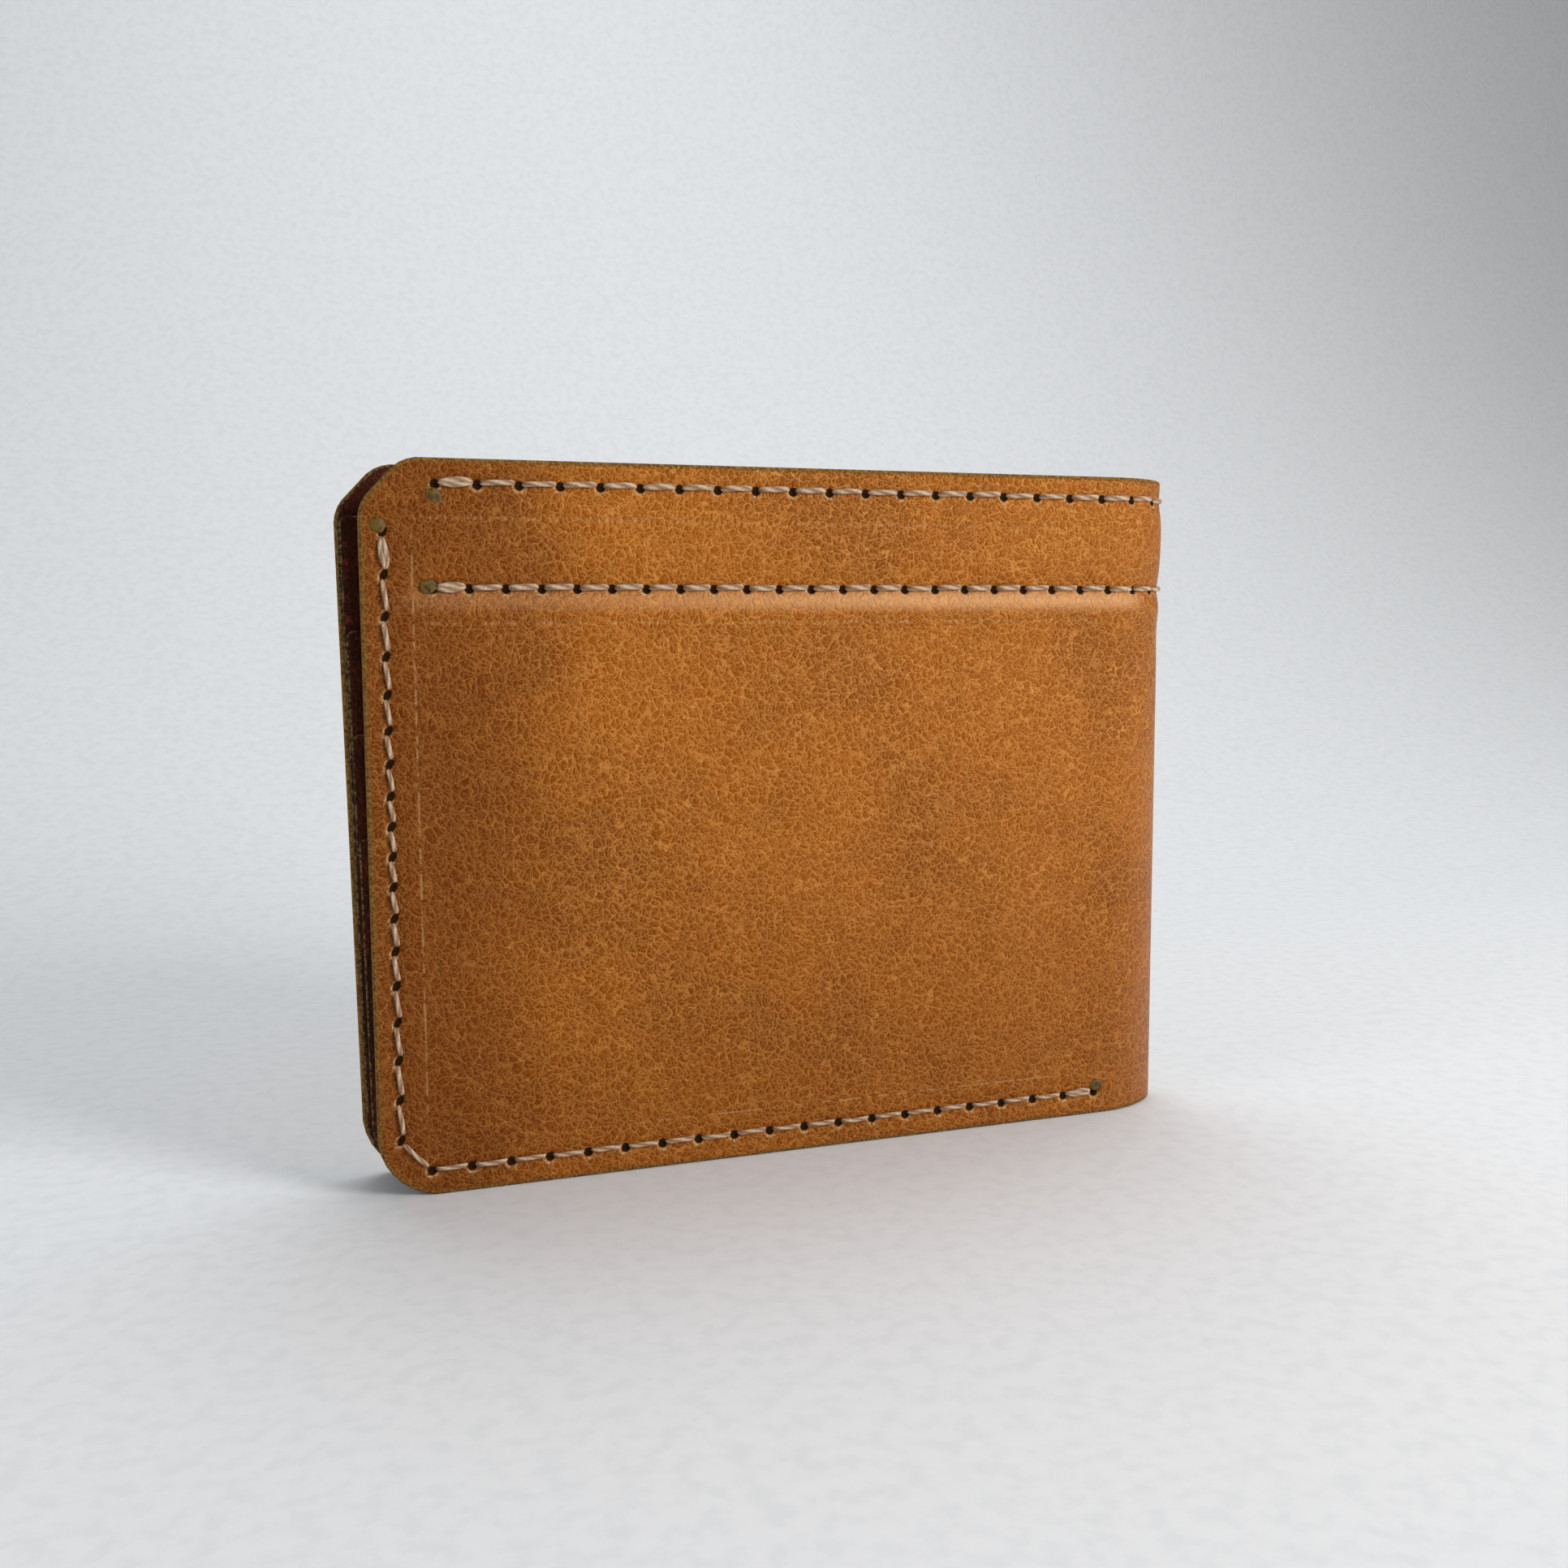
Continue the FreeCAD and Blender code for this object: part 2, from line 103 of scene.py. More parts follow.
@dataclass(frozen=True)
class WalletForm:
    """The wallet's folded form, in millimetres.

    The plies' thicknesses and the two radii of the bend are the maker's own sizes. The rest
    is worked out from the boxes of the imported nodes.
    """

    open_x: float
    height: float
    half_length: float
    edge_half_thick: float
    wedge: float
    hide_thick: float = 1.4
    band_thick: float = 0.6
    ply_thick: float = 0.6
    ply_gap: float = 0.05
    panel_depth: float = 2.4
    flank_radius: float = 14.0
    flank_turn: float = math.radians(42.0)

    @classmethod
    def from_frame(cls) -> "WalletForm":
        """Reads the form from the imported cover.

        Returns:
            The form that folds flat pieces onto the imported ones.
        """
        low, high = (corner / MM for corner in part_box("cover_front"))
        thick = cls.hide_thick
        edge_half = thick - high.y
        rise = -low.y - edge_half
        run = high.x - low.x - thick * rise / (high.x - low.x)
        return cls(
            open_x=low.x,
            height=high.z,
            half_length=math.hypot(run, rise),
            edge_half_thick=edge_half,
            wedge=math.atan2(rise, run),
        )

    @property
    def flank_end(self) -> float:
        """The hide's heading where the easy flank gives way to the tight nose."""
        return self.flank_turn - self.wedge

    @property
    def nose_radius(self) -> float:
        """Radius of the outer face at the nose, which has to end on the middle plane."""
        half = self.edge_half_thick + self.half_length * math.sin(self.wedge)
        rise = self.flank_radius * (math.cos(self.wedge) - math.cos(self.flank_end))
        return (half - rise) / math.cos(self.flank_end)

    @property
    def nose_length(self) -> float:
        """Length from a half's open edge to the tip of the nose."""
        flank = self.flank_radius * self.flank_turn
        return self.half_length + flank + self.nose_radius * (math.pi / 2 - self.flank_end)

    def ply_depth(self, layer: int) -> float:
        """Depth of the outer face of the ply that is so many layers in from the panel."""
        return self.panel_depth + layer * (self.ply_thick + self.ply_gap)

    def fold(self, flat: np.ndarray, side: Side) -> np.ndarray:
        """Folds flat places into the closed wallet.

        Args:
            flat: An array of (s, z, d) in millimetres.
            side: The half that the places belong to.

        Returns:
            An array of (x, y, z) in metres.
        """
        s, z, d = flat.T
        flank_start = self.half_length
        nose_start = flank_start + self.flank_radius * self.flank_turn
        along = np.clip(s - flank_start, 0.0, nose_start - flank_start)
        past = np.clip(s - nose_start, 0.0, None)
        heading = along / self.flank_radius - self.wedge + past / self.nose_radius
        straight = np.minimum(s, flank_start)
        cos_w, sin_w = math.cos(self.wedge), math.sin(self.wedge)
        x = self.open_x + straight * cos_w
        y = -self.edge_half_thick - straight * sin_w
        on_flank = -self.wedge + along / self.flank_radius
        x += self.flank_radius * (np.sin(on_flank) + sin_w)
        y += self.flank_radius * (cos_w - np.cos(on_flank))
        x += self.nose_radius * (np.sin(heading) - np.sin(on_flank))
        y += self.nose_radius * (np.cos(on_flank) - np.cos(heading))
        x -= d * np.sin(heading)
        y += d * np.cos(heading)
        return np.column_stack([x, y * side.value, z]) * MM


def level_row(start: float, pitch: float, stitches: int, z: float) -> list[Place]:
    """Evenly spaced holes at one height, one more than there are stitches."""
    return [(start + pitch * k, z) for k in range(stitches + 1)]


@dataclass(frozen=True)
class Seams:
    """Where the stitch holes are, in millimetres on a half's flat pieces."""

    top_z: float = 87.0
    top_start: float = 9.0
    top_pitch: float = 5.03
    top_count: int = 42
    band_z: float = 74.6
    band_start: float = 8.4
    band_pitch: float = 4.396
    band_count: int = 49
    column_inset: float = 2.8
    column_high: float = 81.2
    column_low: float = 7.3
    column_count: int = 17
    column_drift: float = 1.9
    bottom_z: float = 3.2
    bottom_start: float = 6.4
    bottom_pitch: float = 4.905
    bottom_count: int = 19
    pocket_s: float = 97.2
    pocket_low: float = 7.5
    pocket_pitch: float = 4.6
    pocket_count: int = 13
    stem_pitch: float = 5.0
    stem_count: int = 14
    stem_rise: float = 1.8

    def top(self) -> list[Place]:
        """Holes of the top row, from the front open edge right round the fold."""
        return level_row(self.top_start, self.top_pitch, self.top_count, self.top_z)

    def band(self) -> list[Place]:
        """Holes of the second row, along the lining band's lower edge."""
        return level_row(self.band_start, self.band_pitch, self.band_count, self.band_z)

    def column(self, lean: Callable[[float], float]) -> list[Place]:
        """Holes down the open edge, bunched a little below the middle.

        Args:
            lean: Gives the open edge's s at a height.

        Returns:
            The holes from the top down.
        """
        step = (self.column_high - self.column_low) / self.column_count
        holes = []
        for k in range(self.column_count + 1):
            drift = self.column_drift * math.sin(2 * math.pi * k / self.column_count)
            z = self.column_high - step * k - drift
            holes.append((lean(z) + self.column_inset, z))
        return holes

    def bottom(self) -> list[Place]:
        """Holes along the bottom edge, from the open edge towards the fold."""
        return level_row(self.bottom_start, self.bottom_pitch, self.bottom_count, self.bottom_z)

    def pocket(self) -> list[Place]:
        """Holes that close the card slots' end nearest the fold."""
        heights = [self.pocket_low + self.pocket_pitch * k for k in range(self.pocket_count + 1)]
        return [(self.pocket_s, z) for z in heights]

    def stem(self, low: float, end: float) -> list[Place]:
        """Holes along the foot of a slot ply's stem.

        Args:
            low: Height of the stem's lower edge.
            end: Where the slot plies end, near the fold.

        Returns:
            The holes from the open edge towards the fold.
        """
        start = (end - self.stem_pitch * self.stem_count) / 2
        return level_row(start, self.stem_pitch, self.stem_count, low + self.stem_rise)


# ---- colours and shader nodes ------------------------------------------------------------

def linear(hex_colour: str) -> Colour:
    """Turns an sRGB colour to a linear one.

    Args:
        hex_colour: Six hex digits, with no sign before them.

    Returns:
        Linear red, green and blue, and an alpha of one.
    """
    parts = [int(hex_colour[i:i + 2], 16) / 255 for i in (0, 2, 4)]
    red, green, blue = (p / 12.92 if p <= 0.04045 else ((p + 0.055) / 1.055) ** 2.4 for p in parts)
    return red, green, blue, 1.0


# Settings that many nodes share.
SMOOTH = {"interpolation_type": "SMOOTHSTEP"}
COLOUR = {"out": 2, "data_type": "RGBA"}
EDGES = {"feature": "DISTANCE_TO_EDGE"}
TIMES = {"operation": "MULTIPLY"}
PLUS = {"operation": "ADD"}
LESS = {"operation": "SUBTRACT"}
SCALED = {"operation": "MULTIPLY_ADD"}
LARGER = {"operation": "MAXIMUM"}


class Recipe:
    """A material under construction, with the patterns that its nodes are made of."""

    def __init__(self, name: str) -> None:
        """Starts an empty material with its output and its main shader."""
        self.material = bpy.data.materials.new(name)
        self.material.use_nodes = True
        self.tree = self.material.node_tree
        self.tree.nodes.clear()
        self.shader = self.tree.nodes.new("ShaderNodeBsdfPrincipled")
        output = self.tree.nodes.new("ShaderNodeOutputMaterial")
        self.tree.links.new(self.shader.outputs["BSDF"], output.inputs["Surface"])

    def add(self, kind: str, inputs: dict | Sequence = (), out: int | str | None = 0, **settings) -> Any:
        """Adds a node with its settings and links.

        Args:
            kind: The node's type.
            inputs: Sockets to link or values to set, in the order of the node's inputs, or by
                their names or numbers.
            out: The output to give back, or None for all of them.
            **settings: Properties of the node.

        Returns:
            The chosen output socket, or all of them.
        """
        made = self.tree.nodes.new("ShaderNode" + kind)
        for key, value in settings.items():
            setattr(made, key, value)
        pairs = inputs.items() if isinstance(inputs, dict) else enumerate(inputs)
        for key, value in pairs:
            if isinstance(value, bpy.types.NodeSocket):
                self.tree.links.new(value, made.inputs[key])
            else:
                made.inputs[key].default_value = value
        return made.outputs if out is None else made.outputs[out]

    def finish(self, **sockets) -> bpy.types.Material:
        """Sets or links the main shader's sockets, named with underscores for spaces.

        Returns:
            The finished material.
        """
        for key, value in sockets.items():
            socket = self.shader.inputs[key.replace("_", " ")]
            if isinstance(value, bpy.types.NodeSocket):
                self.tree.links.new(value, socket)
            else:
                socket.default_value = value
        return self.material

    def flat_place(self) -> tuple:
        """The piece's flat (s, z, d) as a vector socket and its three parts, in millimetres."""
        vector = self.add("Attribute", out="Vector", attribute_name="flat")
        return vector, *self.add("SeparateXYZ", (vector,), out=None)

    def mark_place(self) -> tuple:
        """The distance to the nearest hole, its two parts, and the margin to the rim.

        Returns:
            The four as sockets, in millimetres.
        """
        vector = self.add("Attribute", out="Vector", attribute_name="mark")
        along, across, margin = self.add("SeparateXYZ", (vector,), out=None)
        along_squared = self.add("Math", (along, along), **TIMES)
        across_squared = self.add("Math", (across, across), **TIMES)
        squares = self.add("Math", (along_squared, across_squared), **PLUS)
        # Half way between two holes the offset passes through zero, so a plain distance, which
        # stays large there, keeps a false hole from showing.
        plain = self.add("Attribute", out="Fac", attribute_name="reach")
        guard = self.add("MapRange", (plain, 1.3, 1.6, 0.0, 9.0), **SMOOTH)
        distance = self.add("Math", (squares,), operation="SQRT")
        return self.add("Math", (distance, guard), **PLUS), along, across, margin

    def blots(self, place: Socket, scale: float, detail: float, low: float, high: float) -> Socket:
        """Soft blots with bare gaps between them.

        Args:
            place: Where they are, as a vector socket.
            scale: How many there are to a unit of place.
            detail: How ragged they are.
            low: The noise up to which there is nothing.
            high: The noise from which a blot is full.

        Returns:
            A socket that is one in a blot and zero between them.
        """
        noise = self.add("TexNoise", {"Vector": place, "Scale": scale, "Detail": detail})
        return self.add("MapRange", (noise, low, high), **SMOOTH)

    def stroke(self, across: Socket, middle: float, width: float, along: Socket, start: float, end: float,
               fade: float) -> Socket:
        """A thin straight line.

        Args:
            across: The coordinate that the line has one value of.
            middle: That value.
            width: How far from its middle the line fades to nothing.
            along: The coordinate that the line runs along.
            start: Where the line starts.
            end: Where it ends.
            fade: The length over which its ends fade out.

        Returns:
            A socket that is one on the line and zero off it.
        """
        offset = self.add("Math", (across, middle), **LESS)
        away = self.add("Math", (offset,), operation="ABSOLUTE")
        body = self.add("MapRange", (away, 0.0, width, 1.0, 0.0), **SMOOTH)
        opening = self.add("MapRange", (along, start, start + fade), **SMOOTH)
        closing = self.add("MapRange", (along, end - fade, end, 1.0, 0.0), **SMOOTH)
        length = self.add("Math", (opening, closing), **TIMES)
        return self.add("Math", (body, length), **TIMES)


# ---- finishes ----------------------------------------------------------------------------

@dataclass(frozen=True)
class PullUpHide:
    """Vegetable-tanned pull-up cowhide: drum dyed, filled with oil and wax, fine grained.

    The wax makes its colour cloudy. The creases between the grain's pebbles catch a paler
    tone where the wax breaks, and the cut edge shows the bare fibres.
    """

    base: str = "9A5003"
    deep: str = "642800"
    pale: str = "A65C0A"
    # painted highlight on the band's ridge, with the stretched leather's paler pull-up
    crease: str = "E4A050"
    stretch_and_highlight: str = "DFA878"
    sheen: str = "FFBC78"
    # painted shade inside the stitch holes
    hole: str = "120A06"
    pucker: str = "E8B67C"
    edge: str = "5A3C14"
    edge_pale: str = "9C7236"
    flesh: str = "6E4524"
    pebble_mm: float = 1.15
    cloud_mm: float = 26.0
    hole_radius: float = 0.62
    thick: float = 1.4

    def material(self) -> bpy.types.Material:
        """Builds the hide's material.

        Returns:
            The material.
        """
        r = Recipe("pull_up_hide")
        flat, s, z, depth = r.flat_place()
        reach, along, across, margin = r.mark_place()

        # The grain's pebbles, pulled out of square by the hide's own stretch.
        warp = r.add("TexNoise", {"Vector": flat, "Scale": 0.22, "Detail": 2.0}, out="Color")
        pull = r.add("VectorMath", {0: warp, 1: (0.5, 0.5, 0.5)}, **LESS)
        drawn = r.add("VectorMath", {0: pull, "Scale": 3.2}, operation="SCALE")
        grain_at = r.add("VectorMath", {0: flat, 1: drawn}, **PLUS)
        fray = r.add("TexNoise", {"Vector": flat, "Scale": 1.7, "Detail": 3.0}, out="Color")
        ragged = r.add("VectorMath", {0: fray, "Scale": 0.6}, operation="SCALE")
        grain_at = r.add("VectorMath", {0: grain_at, 1: ragged}, **PLUS)
        cells, fine = (
            r.add("TexVoronoi", {"Vector": grain_at, "Scale": scale / self.pebble_mm}, **EDGES)
            for scale in (1, 2.1))
        crease = r.add("MapRange", (cells, 0.01, 0.08, 1.0, 0.0), **SMOOTH)
        fine_crease = r.add("MapRange", (fine, 0.01, 0.11, 1.0, 0.0), **SMOOTH)
        patchy = r.blots(flat, 0.32, 3.0, 0.36, 0.66)
        share = r.add("Math", (patchy, 0.35, 0.6), **SCALED)
        fine_share = r.add("Math", (patchy, -0.3, 0.75), **SCALED)
        crease = r.add("Math", (crease, share), **TIMES)
        fine_crease = r.add("Math", (fine_crease, fine_share), **TIMES)
        network = r.add("Math", (crease, fine_crease), **LARGER)

        # Cloudy tone, where the oils have moved.
        cloud = r.add(
            "TexNoise", {"Vector": flat, "Scale": 1 / self.cloud_mm, "Detail": 4.0, "Roughness": 0.55})
        mottle = r.add("TexNoise", {"Vector": flat, "Scale": 0.14, "Detail": 5.0, "Roughness": 0.6})
        oily = r.add("MapRange", (cloud, 0.34, 0.54, 0.42, 0.0), **SMOOTH)
        waxy = r.add("MapRange", (cloud, 0.5, 0.68, 0.0, 0.3), **SMOOTH)
        mottled = r.add("MapRange", (mottle, 0.45, 0.75, 0.0, 0.3), **SMOOTH)

        # Painted shade: darker towards the front's open edge and the lower part, where less of the light
        # from the upper right falls.
        drift = r.add("Math", (cloud, 26.0, -13.0), **SCALED)
        wobbly_s = r.add("Math", (drift, s), **PLUS)
        shade_by_edge = r.add("MapRange", (wobbly_s, 6.0, 34.0, 0.9, 0.0), **SMOOTH)
        shade_low_down = r.add("MapRange", (z, 4.0, 62.0, 0.42, 0.0), **SMOOTH)
        painted_shade = r.add("Math", (shade_by_edge, shade_low_down), **LARGER)

        # Painted highlight on the ridge over the band's lower edge, stronger towards the fold where the key
        # light catches it; the stretched leather also pulls up a little paler there.
        ridge = r.stroke(z, 73.2, 2.1, s, 2.0, 109.0, 7.0)
        ridge_growth = r.add("MapRange", (s, 5.0, 80.0, 0.2, 0.85), **SMOOTH)
        ridge_stretch_and_highlight = r.add("Math", (ridge, ridge_growth), **TIMES)

        # The creases show less under the painted shade.
        caught = r.add("Math", (painted_shade, -0.4, 0.66), **SCALED)
        caught = r.add("Math", (caught, network), **TIMES)

        # Lines pressed in by the maker's tools, beside the rows of stitches.
        ripple = r.add("Math", (s, 7.0), **TIMES)
        ripple = r.add("Math", (ripple,), operation="SINE")
        teeth = r.add("MapRange", (ripple, -0.4, 0.8), **SMOOTH)
        toothed = r.add("Math", (teeth, 0.75, 0.25), **SCALED)
        upper = r.add("Math", (r.stroke(z, 82.9, 0.42, s, 6.0, 96.0, 3.0), toothed), **TIMES)
        lower = r.add("Math", (r.stroke(z, 70.4, 0.42, s, 6.0, 101.0, 3.0), toothed), **TIMES)
        guide = r.stroke(s, 6.1, 0.26, z, 9.0, 83.0, 3.0)
        foot = r.stroke(z, 6.3, 0.22, s, 24.0, 100.0, 12.0)
        level = r.add("Math", (upper, lower), **LARGER)
        plain = r.add("Math", (guide, foot), **LARGER)
        pressed = r.add("Math", (level, plain), **LARGER)
        worn = r.blots(flat, 0.7, 4.0, 0.4, 0.6)
        pressed = r.add("Math", (pressed, worn), **TIMES)
        rubbed = r.add("Math", (pressed, 0.34), **TIMES)

        # The leather puckers pale round each stitch hole, most on the side the thread pulls.
        slant = r.add("Math", (along, 0.4), **TIMES)
        pulled = r.add("Math", (across, slant), **PLUS)
        pull_side = r.add("MapRange", (pulled, 0.5, -0.9), **SMOOTH)
        past_hole = r.add("MapRange", (reach, 0.5, 0.66), **SMOOTH)
        short_of = r.add("MapRange", (reach, 0.75, 1.15, 1.0, 0.0), **SMOOTH)
        ring = r.add("Math", (past_hole, short_of), **TIMES)
        rays = r.blots(flat, 2.4, 2.0, 0.35, 0.6)
        rays = r.add("Math", (rays, pull_side), **TIMES)
        halo = r.add("Math", (ring, rays), **TIMES)
        puckered = r.add("Math", (halo, 0.75), **TIMES)
        # Painted shade: the stitch hole, which the mesh only dents, is drawn near black.
        rim, wall = self.hole_radius - 0.1, self.hole_radius + 0.06
        hole = r.add("MapRange", (reach, rim, wall, 1.0, 0.0), **SMOOTH)

        # Cut edge and flesh side.
        fibre = r.add("TexNoise", {"Vector": flat, "Scale": 2.6, "Detail": 4.0})
        bleached = r.add("MapRange", (fibre, 0.3, 0.7), **SMOOTH)
        raw = r.add("Mix", {0: bleached, 6: linear(self.edge), 7: linear(self.edge_pale)}, **COLOUR)
        stained = r.add("MapRange", (fibre, 0.25, 0.8, 0.0, 0.5), **SMOOTH)
        suede = r.add("Mix", {0: stained, 6: linear(self.flesh), 7: linear(self.deep)}, **COLOUR)
        streak = r.add("MapRange", (fibre, 0.35, 0.65, -0.1, 0.08), **SMOOTH)
        uneven = r.add("Math", (margin, streak), **PLUS)
        at_edge = r.add("MapRange", (uneven, 0.42, 0.6, 1.0, 0.0), **SMOOTH)
        inside = r.add("MapRange", (depth, self.thick - 0.2, self.thick - 0.05), **SMOOTH)

        # The coats of colour, from the first to the last.
        coats = (
            (oily, linear(self.deep)),
            (waxy, linear(self.pale)),
            (mottled, linear(self.deep)),
            # painted shade towards the open edge and the lower part
            (painted_shade, linear(self.deep)),
            # painted highlight on the band's ridge, with the stretched leather's paler pull-up
            (ridge_stretch_and_highlight, linear(self.stretch_and_highlight)),
            (caught, linear(self.crease)),
            (rubbed, linear(self.pucker)),
            (puckered, linear(self.pucker)),
            (inside, suede),
            (at_edge, raw),
            (hole, linear(self.hole)),
        )
        tone = linear(self.base)
        for amount, colour in coats:
            tone = r.add("Mix", {0: amount, 6: tone, 7: colour}, **COLOUR)

        # Relief, in parts of the bump's height.
        relief = r.add("MapRange", (cells, 0.0, 0.3), **SMOOTH)
        swell = r.add("MapRange", (fine, 0.0, 0.25), **SMOOTH)
        pore = r.add("TexNoise", {"Vector": flat, "Scale": 4.0, "Detail": 3.0})
        parts = ((swell, 0.5, PLUS), (pore, 0.5, PLUS), (pressed, 1.6, LESS), (halo, 1.2, PLUS))
        for part, height, way in parts:
            raised = r.add("Math", (part, height), **TIMES)
            relief = r.add("Math", (relief, raised), **way)
        bump = r.add("Bump", {"Height": relief, "Strength": 0.6, "Distance": 0.00016})

        # Wax shines, and the bare edge and the holes are dull.
        wax = r.add("Math", (cloud, -0.2, 0.44), **SCALED)
        grit = r.add("Math", (pore, 0.08), **TIMES)
        rough = r.add("Math", (wax, grit), **PLUS)
        bare = r.add("Math", (at_edge, hole), **LARGER)
        dull = r.add("Math", (bare, 0.9), **TIMES)
        rough = r.add("Math", (rough, dull), **LARGER)
        return r.finish(
            Base_Color=tone, Roughness=rough, Normal=bump, IOR=1.5, Specular_Tint=linear(self.sheen))


@dataclass(frozen=True)
class LiningLeather:
    """Chrome-tanned lining leather: split thin, dyed dark red-brown, with a tight grain.

    Its face is nearly black in shade, and red specks of grain, where light rakes it, are painted in as
    highlights.
    The cut edges are bare, olive brown with a dark line where the dye stopped.
    """

    base: str = "4A170C"
    deep: str = "2C0C07"
    # painted highlight on the grain's lines
    grain_glint: str = "8A3626"
    sheen: str = "FFC8A0"
    # painted shade inside the stitch holes
    hole: str = "080504"
    edge: str = "7A6640"
    edge_dark: str = "2A1E10"
    pebble_mm: float = 0.8

    def material(self) -> bpy.types.Material:
        """Builds the lining's material.

        Returns:
            The material.
        """
        r = Recipe("lining_leather")
        flat, *_ = r.flat_place()
        reach, _, _, margin = r.mark_place()
        warp = r.add("TexNoise", {"Vector": flat, "Scale": 1.1, "Detail": 3.0}, out="Color")
        drawn = r.add("VectorMath", {0: warp, "Scale": 1.1}, operation="SCALE")
        grain_at = r.add("VectorMath", {0: flat, 1: drawn}, **PLUS)
        cells = r.add("TexVoronoi", {"Vector": grain_at, "Scale": 1 / self.pebble_mm}, **EDGES)
        clouded = r.blots(flat, 0.08, 4.0, 0.35, 0.65)
        sparse = r.blots(flat, 0.9, 3.0, 0.5, 0.68)
        # Painted highlights: red glints along the grain's lines, in sparse patches.
        lines = r.add("MapRange", (cells, 0.0, 0.14, 1.0, 0.0), **SMOOTH)
        painted_glints = r.add("Math", (lines, sparse), **TIMES)
        painted_glints = r.add("Math", (painted_glints, 0.8), **TIMES)
        fibre = r.add("TexNoise", {"Vector": flat, "Scale": 2.2, "Detail": 4.0})
        bleached = r.add("MapRange", (fibre, 0.42, 0.62), **SMOOTH)
        raw = r.add("Mix", {0: bleached, 6: linear(self.edge_dark), 7: linear(self.edge)}, **COLOUR)
        at_edge = r.add("MapRange", (margin, 0.14, 0.24, 1.0, 0.0), **SMOOTH)
        # Painted shade: the stitch hole, which the mesh only dents, is drawn near black.
        hole = r.add("MapRange", (reach, 0.38, 0.5, 1.0, 0.0), **SMOOTH)
        coats = (
            (clouded, linear(self.base)),
            (painted_glints, linear(self.grain_glint)),
            (at_edge, raw),
            (hole, linear(self.hole)),
        )
        tone = linear(self.deep)
        for amount, colour in coats:
            tone = r.add("Mix", {0: amount, 6: tone, 7: colour}, **COLOUR)
        swell = r.add("MapRange", (cells, 0.0, 0.3), **SMOOTH)
        nap = r.add("Math", (fibre, 0.4), **TIMES)
        relief = r.add("Math", (swell, nap), **PLUS)
        bump = r.add("Bump", {"Height": relief, "Strength": 0.5, "Distance": 0.0001})
        bare = r.add("Math", (at_edge, hole), **LARGER)
        rough = r.add("Math", (bare, 0.35, 0.5), **SCALED)
        return r.finish(
            Base_Color=tone, Roughness=rough, Normal=bump, IOR=1.4, Specular_Tint=linear(self.sheen))


@dataclass(frozen=True)
class WaxedThread:
    """Twisted two-ply linen thread drawn through wax: pinkish beige, with a soft shine.

    The plies lie at a slant, with painted shade in the grooves between them and painted highlights on their
    crowns.
    """

    base: str = "C4A07C"
    groove_shade: str = "94704E"
    crown: str = "EAD4B6"
    stain: str = "6E5034"
    lay_mm: float = 2.6
    plies: float = 2.0

    def material(self) -> bpy.types.Material:
        """Builds the thread's material.

        Returns:
            The material.
        """
        r = Recipe("waxed_linen_thread")
        strand = r.add("Attribute", out="Vector", attribute_name="strand")
        side_way, outward, run = r.add("SeparateXYZ", (strand,), out=None)
        turn = r.add("Math", (outward, side_way), operation="ARCTAN2")
        run = r.add("Math", (run, 2 * math.pi / self.lay_mm), **TIMES)
        winding = r.add("Math", (turn, self.plies, run), **SCALED)
        lay = r.add("Math", (winding,), operation="SINE")
        fuzz = r.add("TexNoise", {"Vector": strand, "Scale": 4.5, "Detail": 4.0})
        stray = r.add("Math", (fuzz, 2.2, -1.1), **SCALED)
        wobble = r.add("Math", (lay, stray), **PLUS)
        # Painted shade in the grooves between the plies and painted highlights on their crowns.
        shaded_grooves = r.add("MapRange", (wobble, -0.95, -0.2, 1.0, 0.0), **SMOOTH)
        raised = r.add("MapRange", (wobble, 0.3, 1.0), **SMOOTH)
        raised = r.add("Math", (raised, 0.8), **TIMES)
        stained = r.blots(strand, 3.0, 4.0, 0.54, 0.66)
        stained = r.add("Math", (stained, 0.7), **TIMES)
        tone = linear(self.base)
        for amount, colour in ((shaded_grooves, self.groove_shade), (raised, self.crown), (stained, self.stain)):
            tone = r.add("Mix", {0: amount, 6: tone, 7: linear(colour)}, **COLOUR)
        bump = r.add("Bump", {"Height": wobble, "Strength": 0.6, "Distance": 0.0001})
        return r.finish(
            Base_Color=tone, Roughness=0.58, Normal=bump, IOR=1.53, Sheen_Weight=0.25, Sheen_Roughness=0.5)


@dataclass(frozen=True)
class MeltedEnd:
    """A thread's end melted and pressed flat: wax and char, olive brown and a little glossy."""

    base: str = "6A5014"
    dark: str = "3C2A08"
    pale: str = "8E7634"

    def material(self) -> bpy.types.Material:
        """Builds the melted end's material.

        Returns:
            The material.
        """
        r = Recipe("melted_thread_end")
        place = r.add("TexCoord", out="Object")
        lumps = r.add("TexNoise", {"Vector": place, "Scale": 1400.0, "Detail": 3.0})
        body = r.add("MapRange", (lumps, 0.35, 0.55), **SMOOTH)
        crest = r.add("MapRange", (lumps, 0.6, 0.75, 0.0, 0.7), **SMOOTH)
        tone = linear(self.dark)
        for amount, colour in ((body, self.base), (crest, self.pale)):
            tone = r.add("Mix", {0: amount, 6: tone, 7: linear(colour)}, **COLOUR)
        bump = r.add("Bump", {"Height": lumps, "Strength": 0.5, "Distance": 0.00015})
        return r.finish(Base_Color=tone, Roughness=0.5, Normal=bump, IOR=1.38)


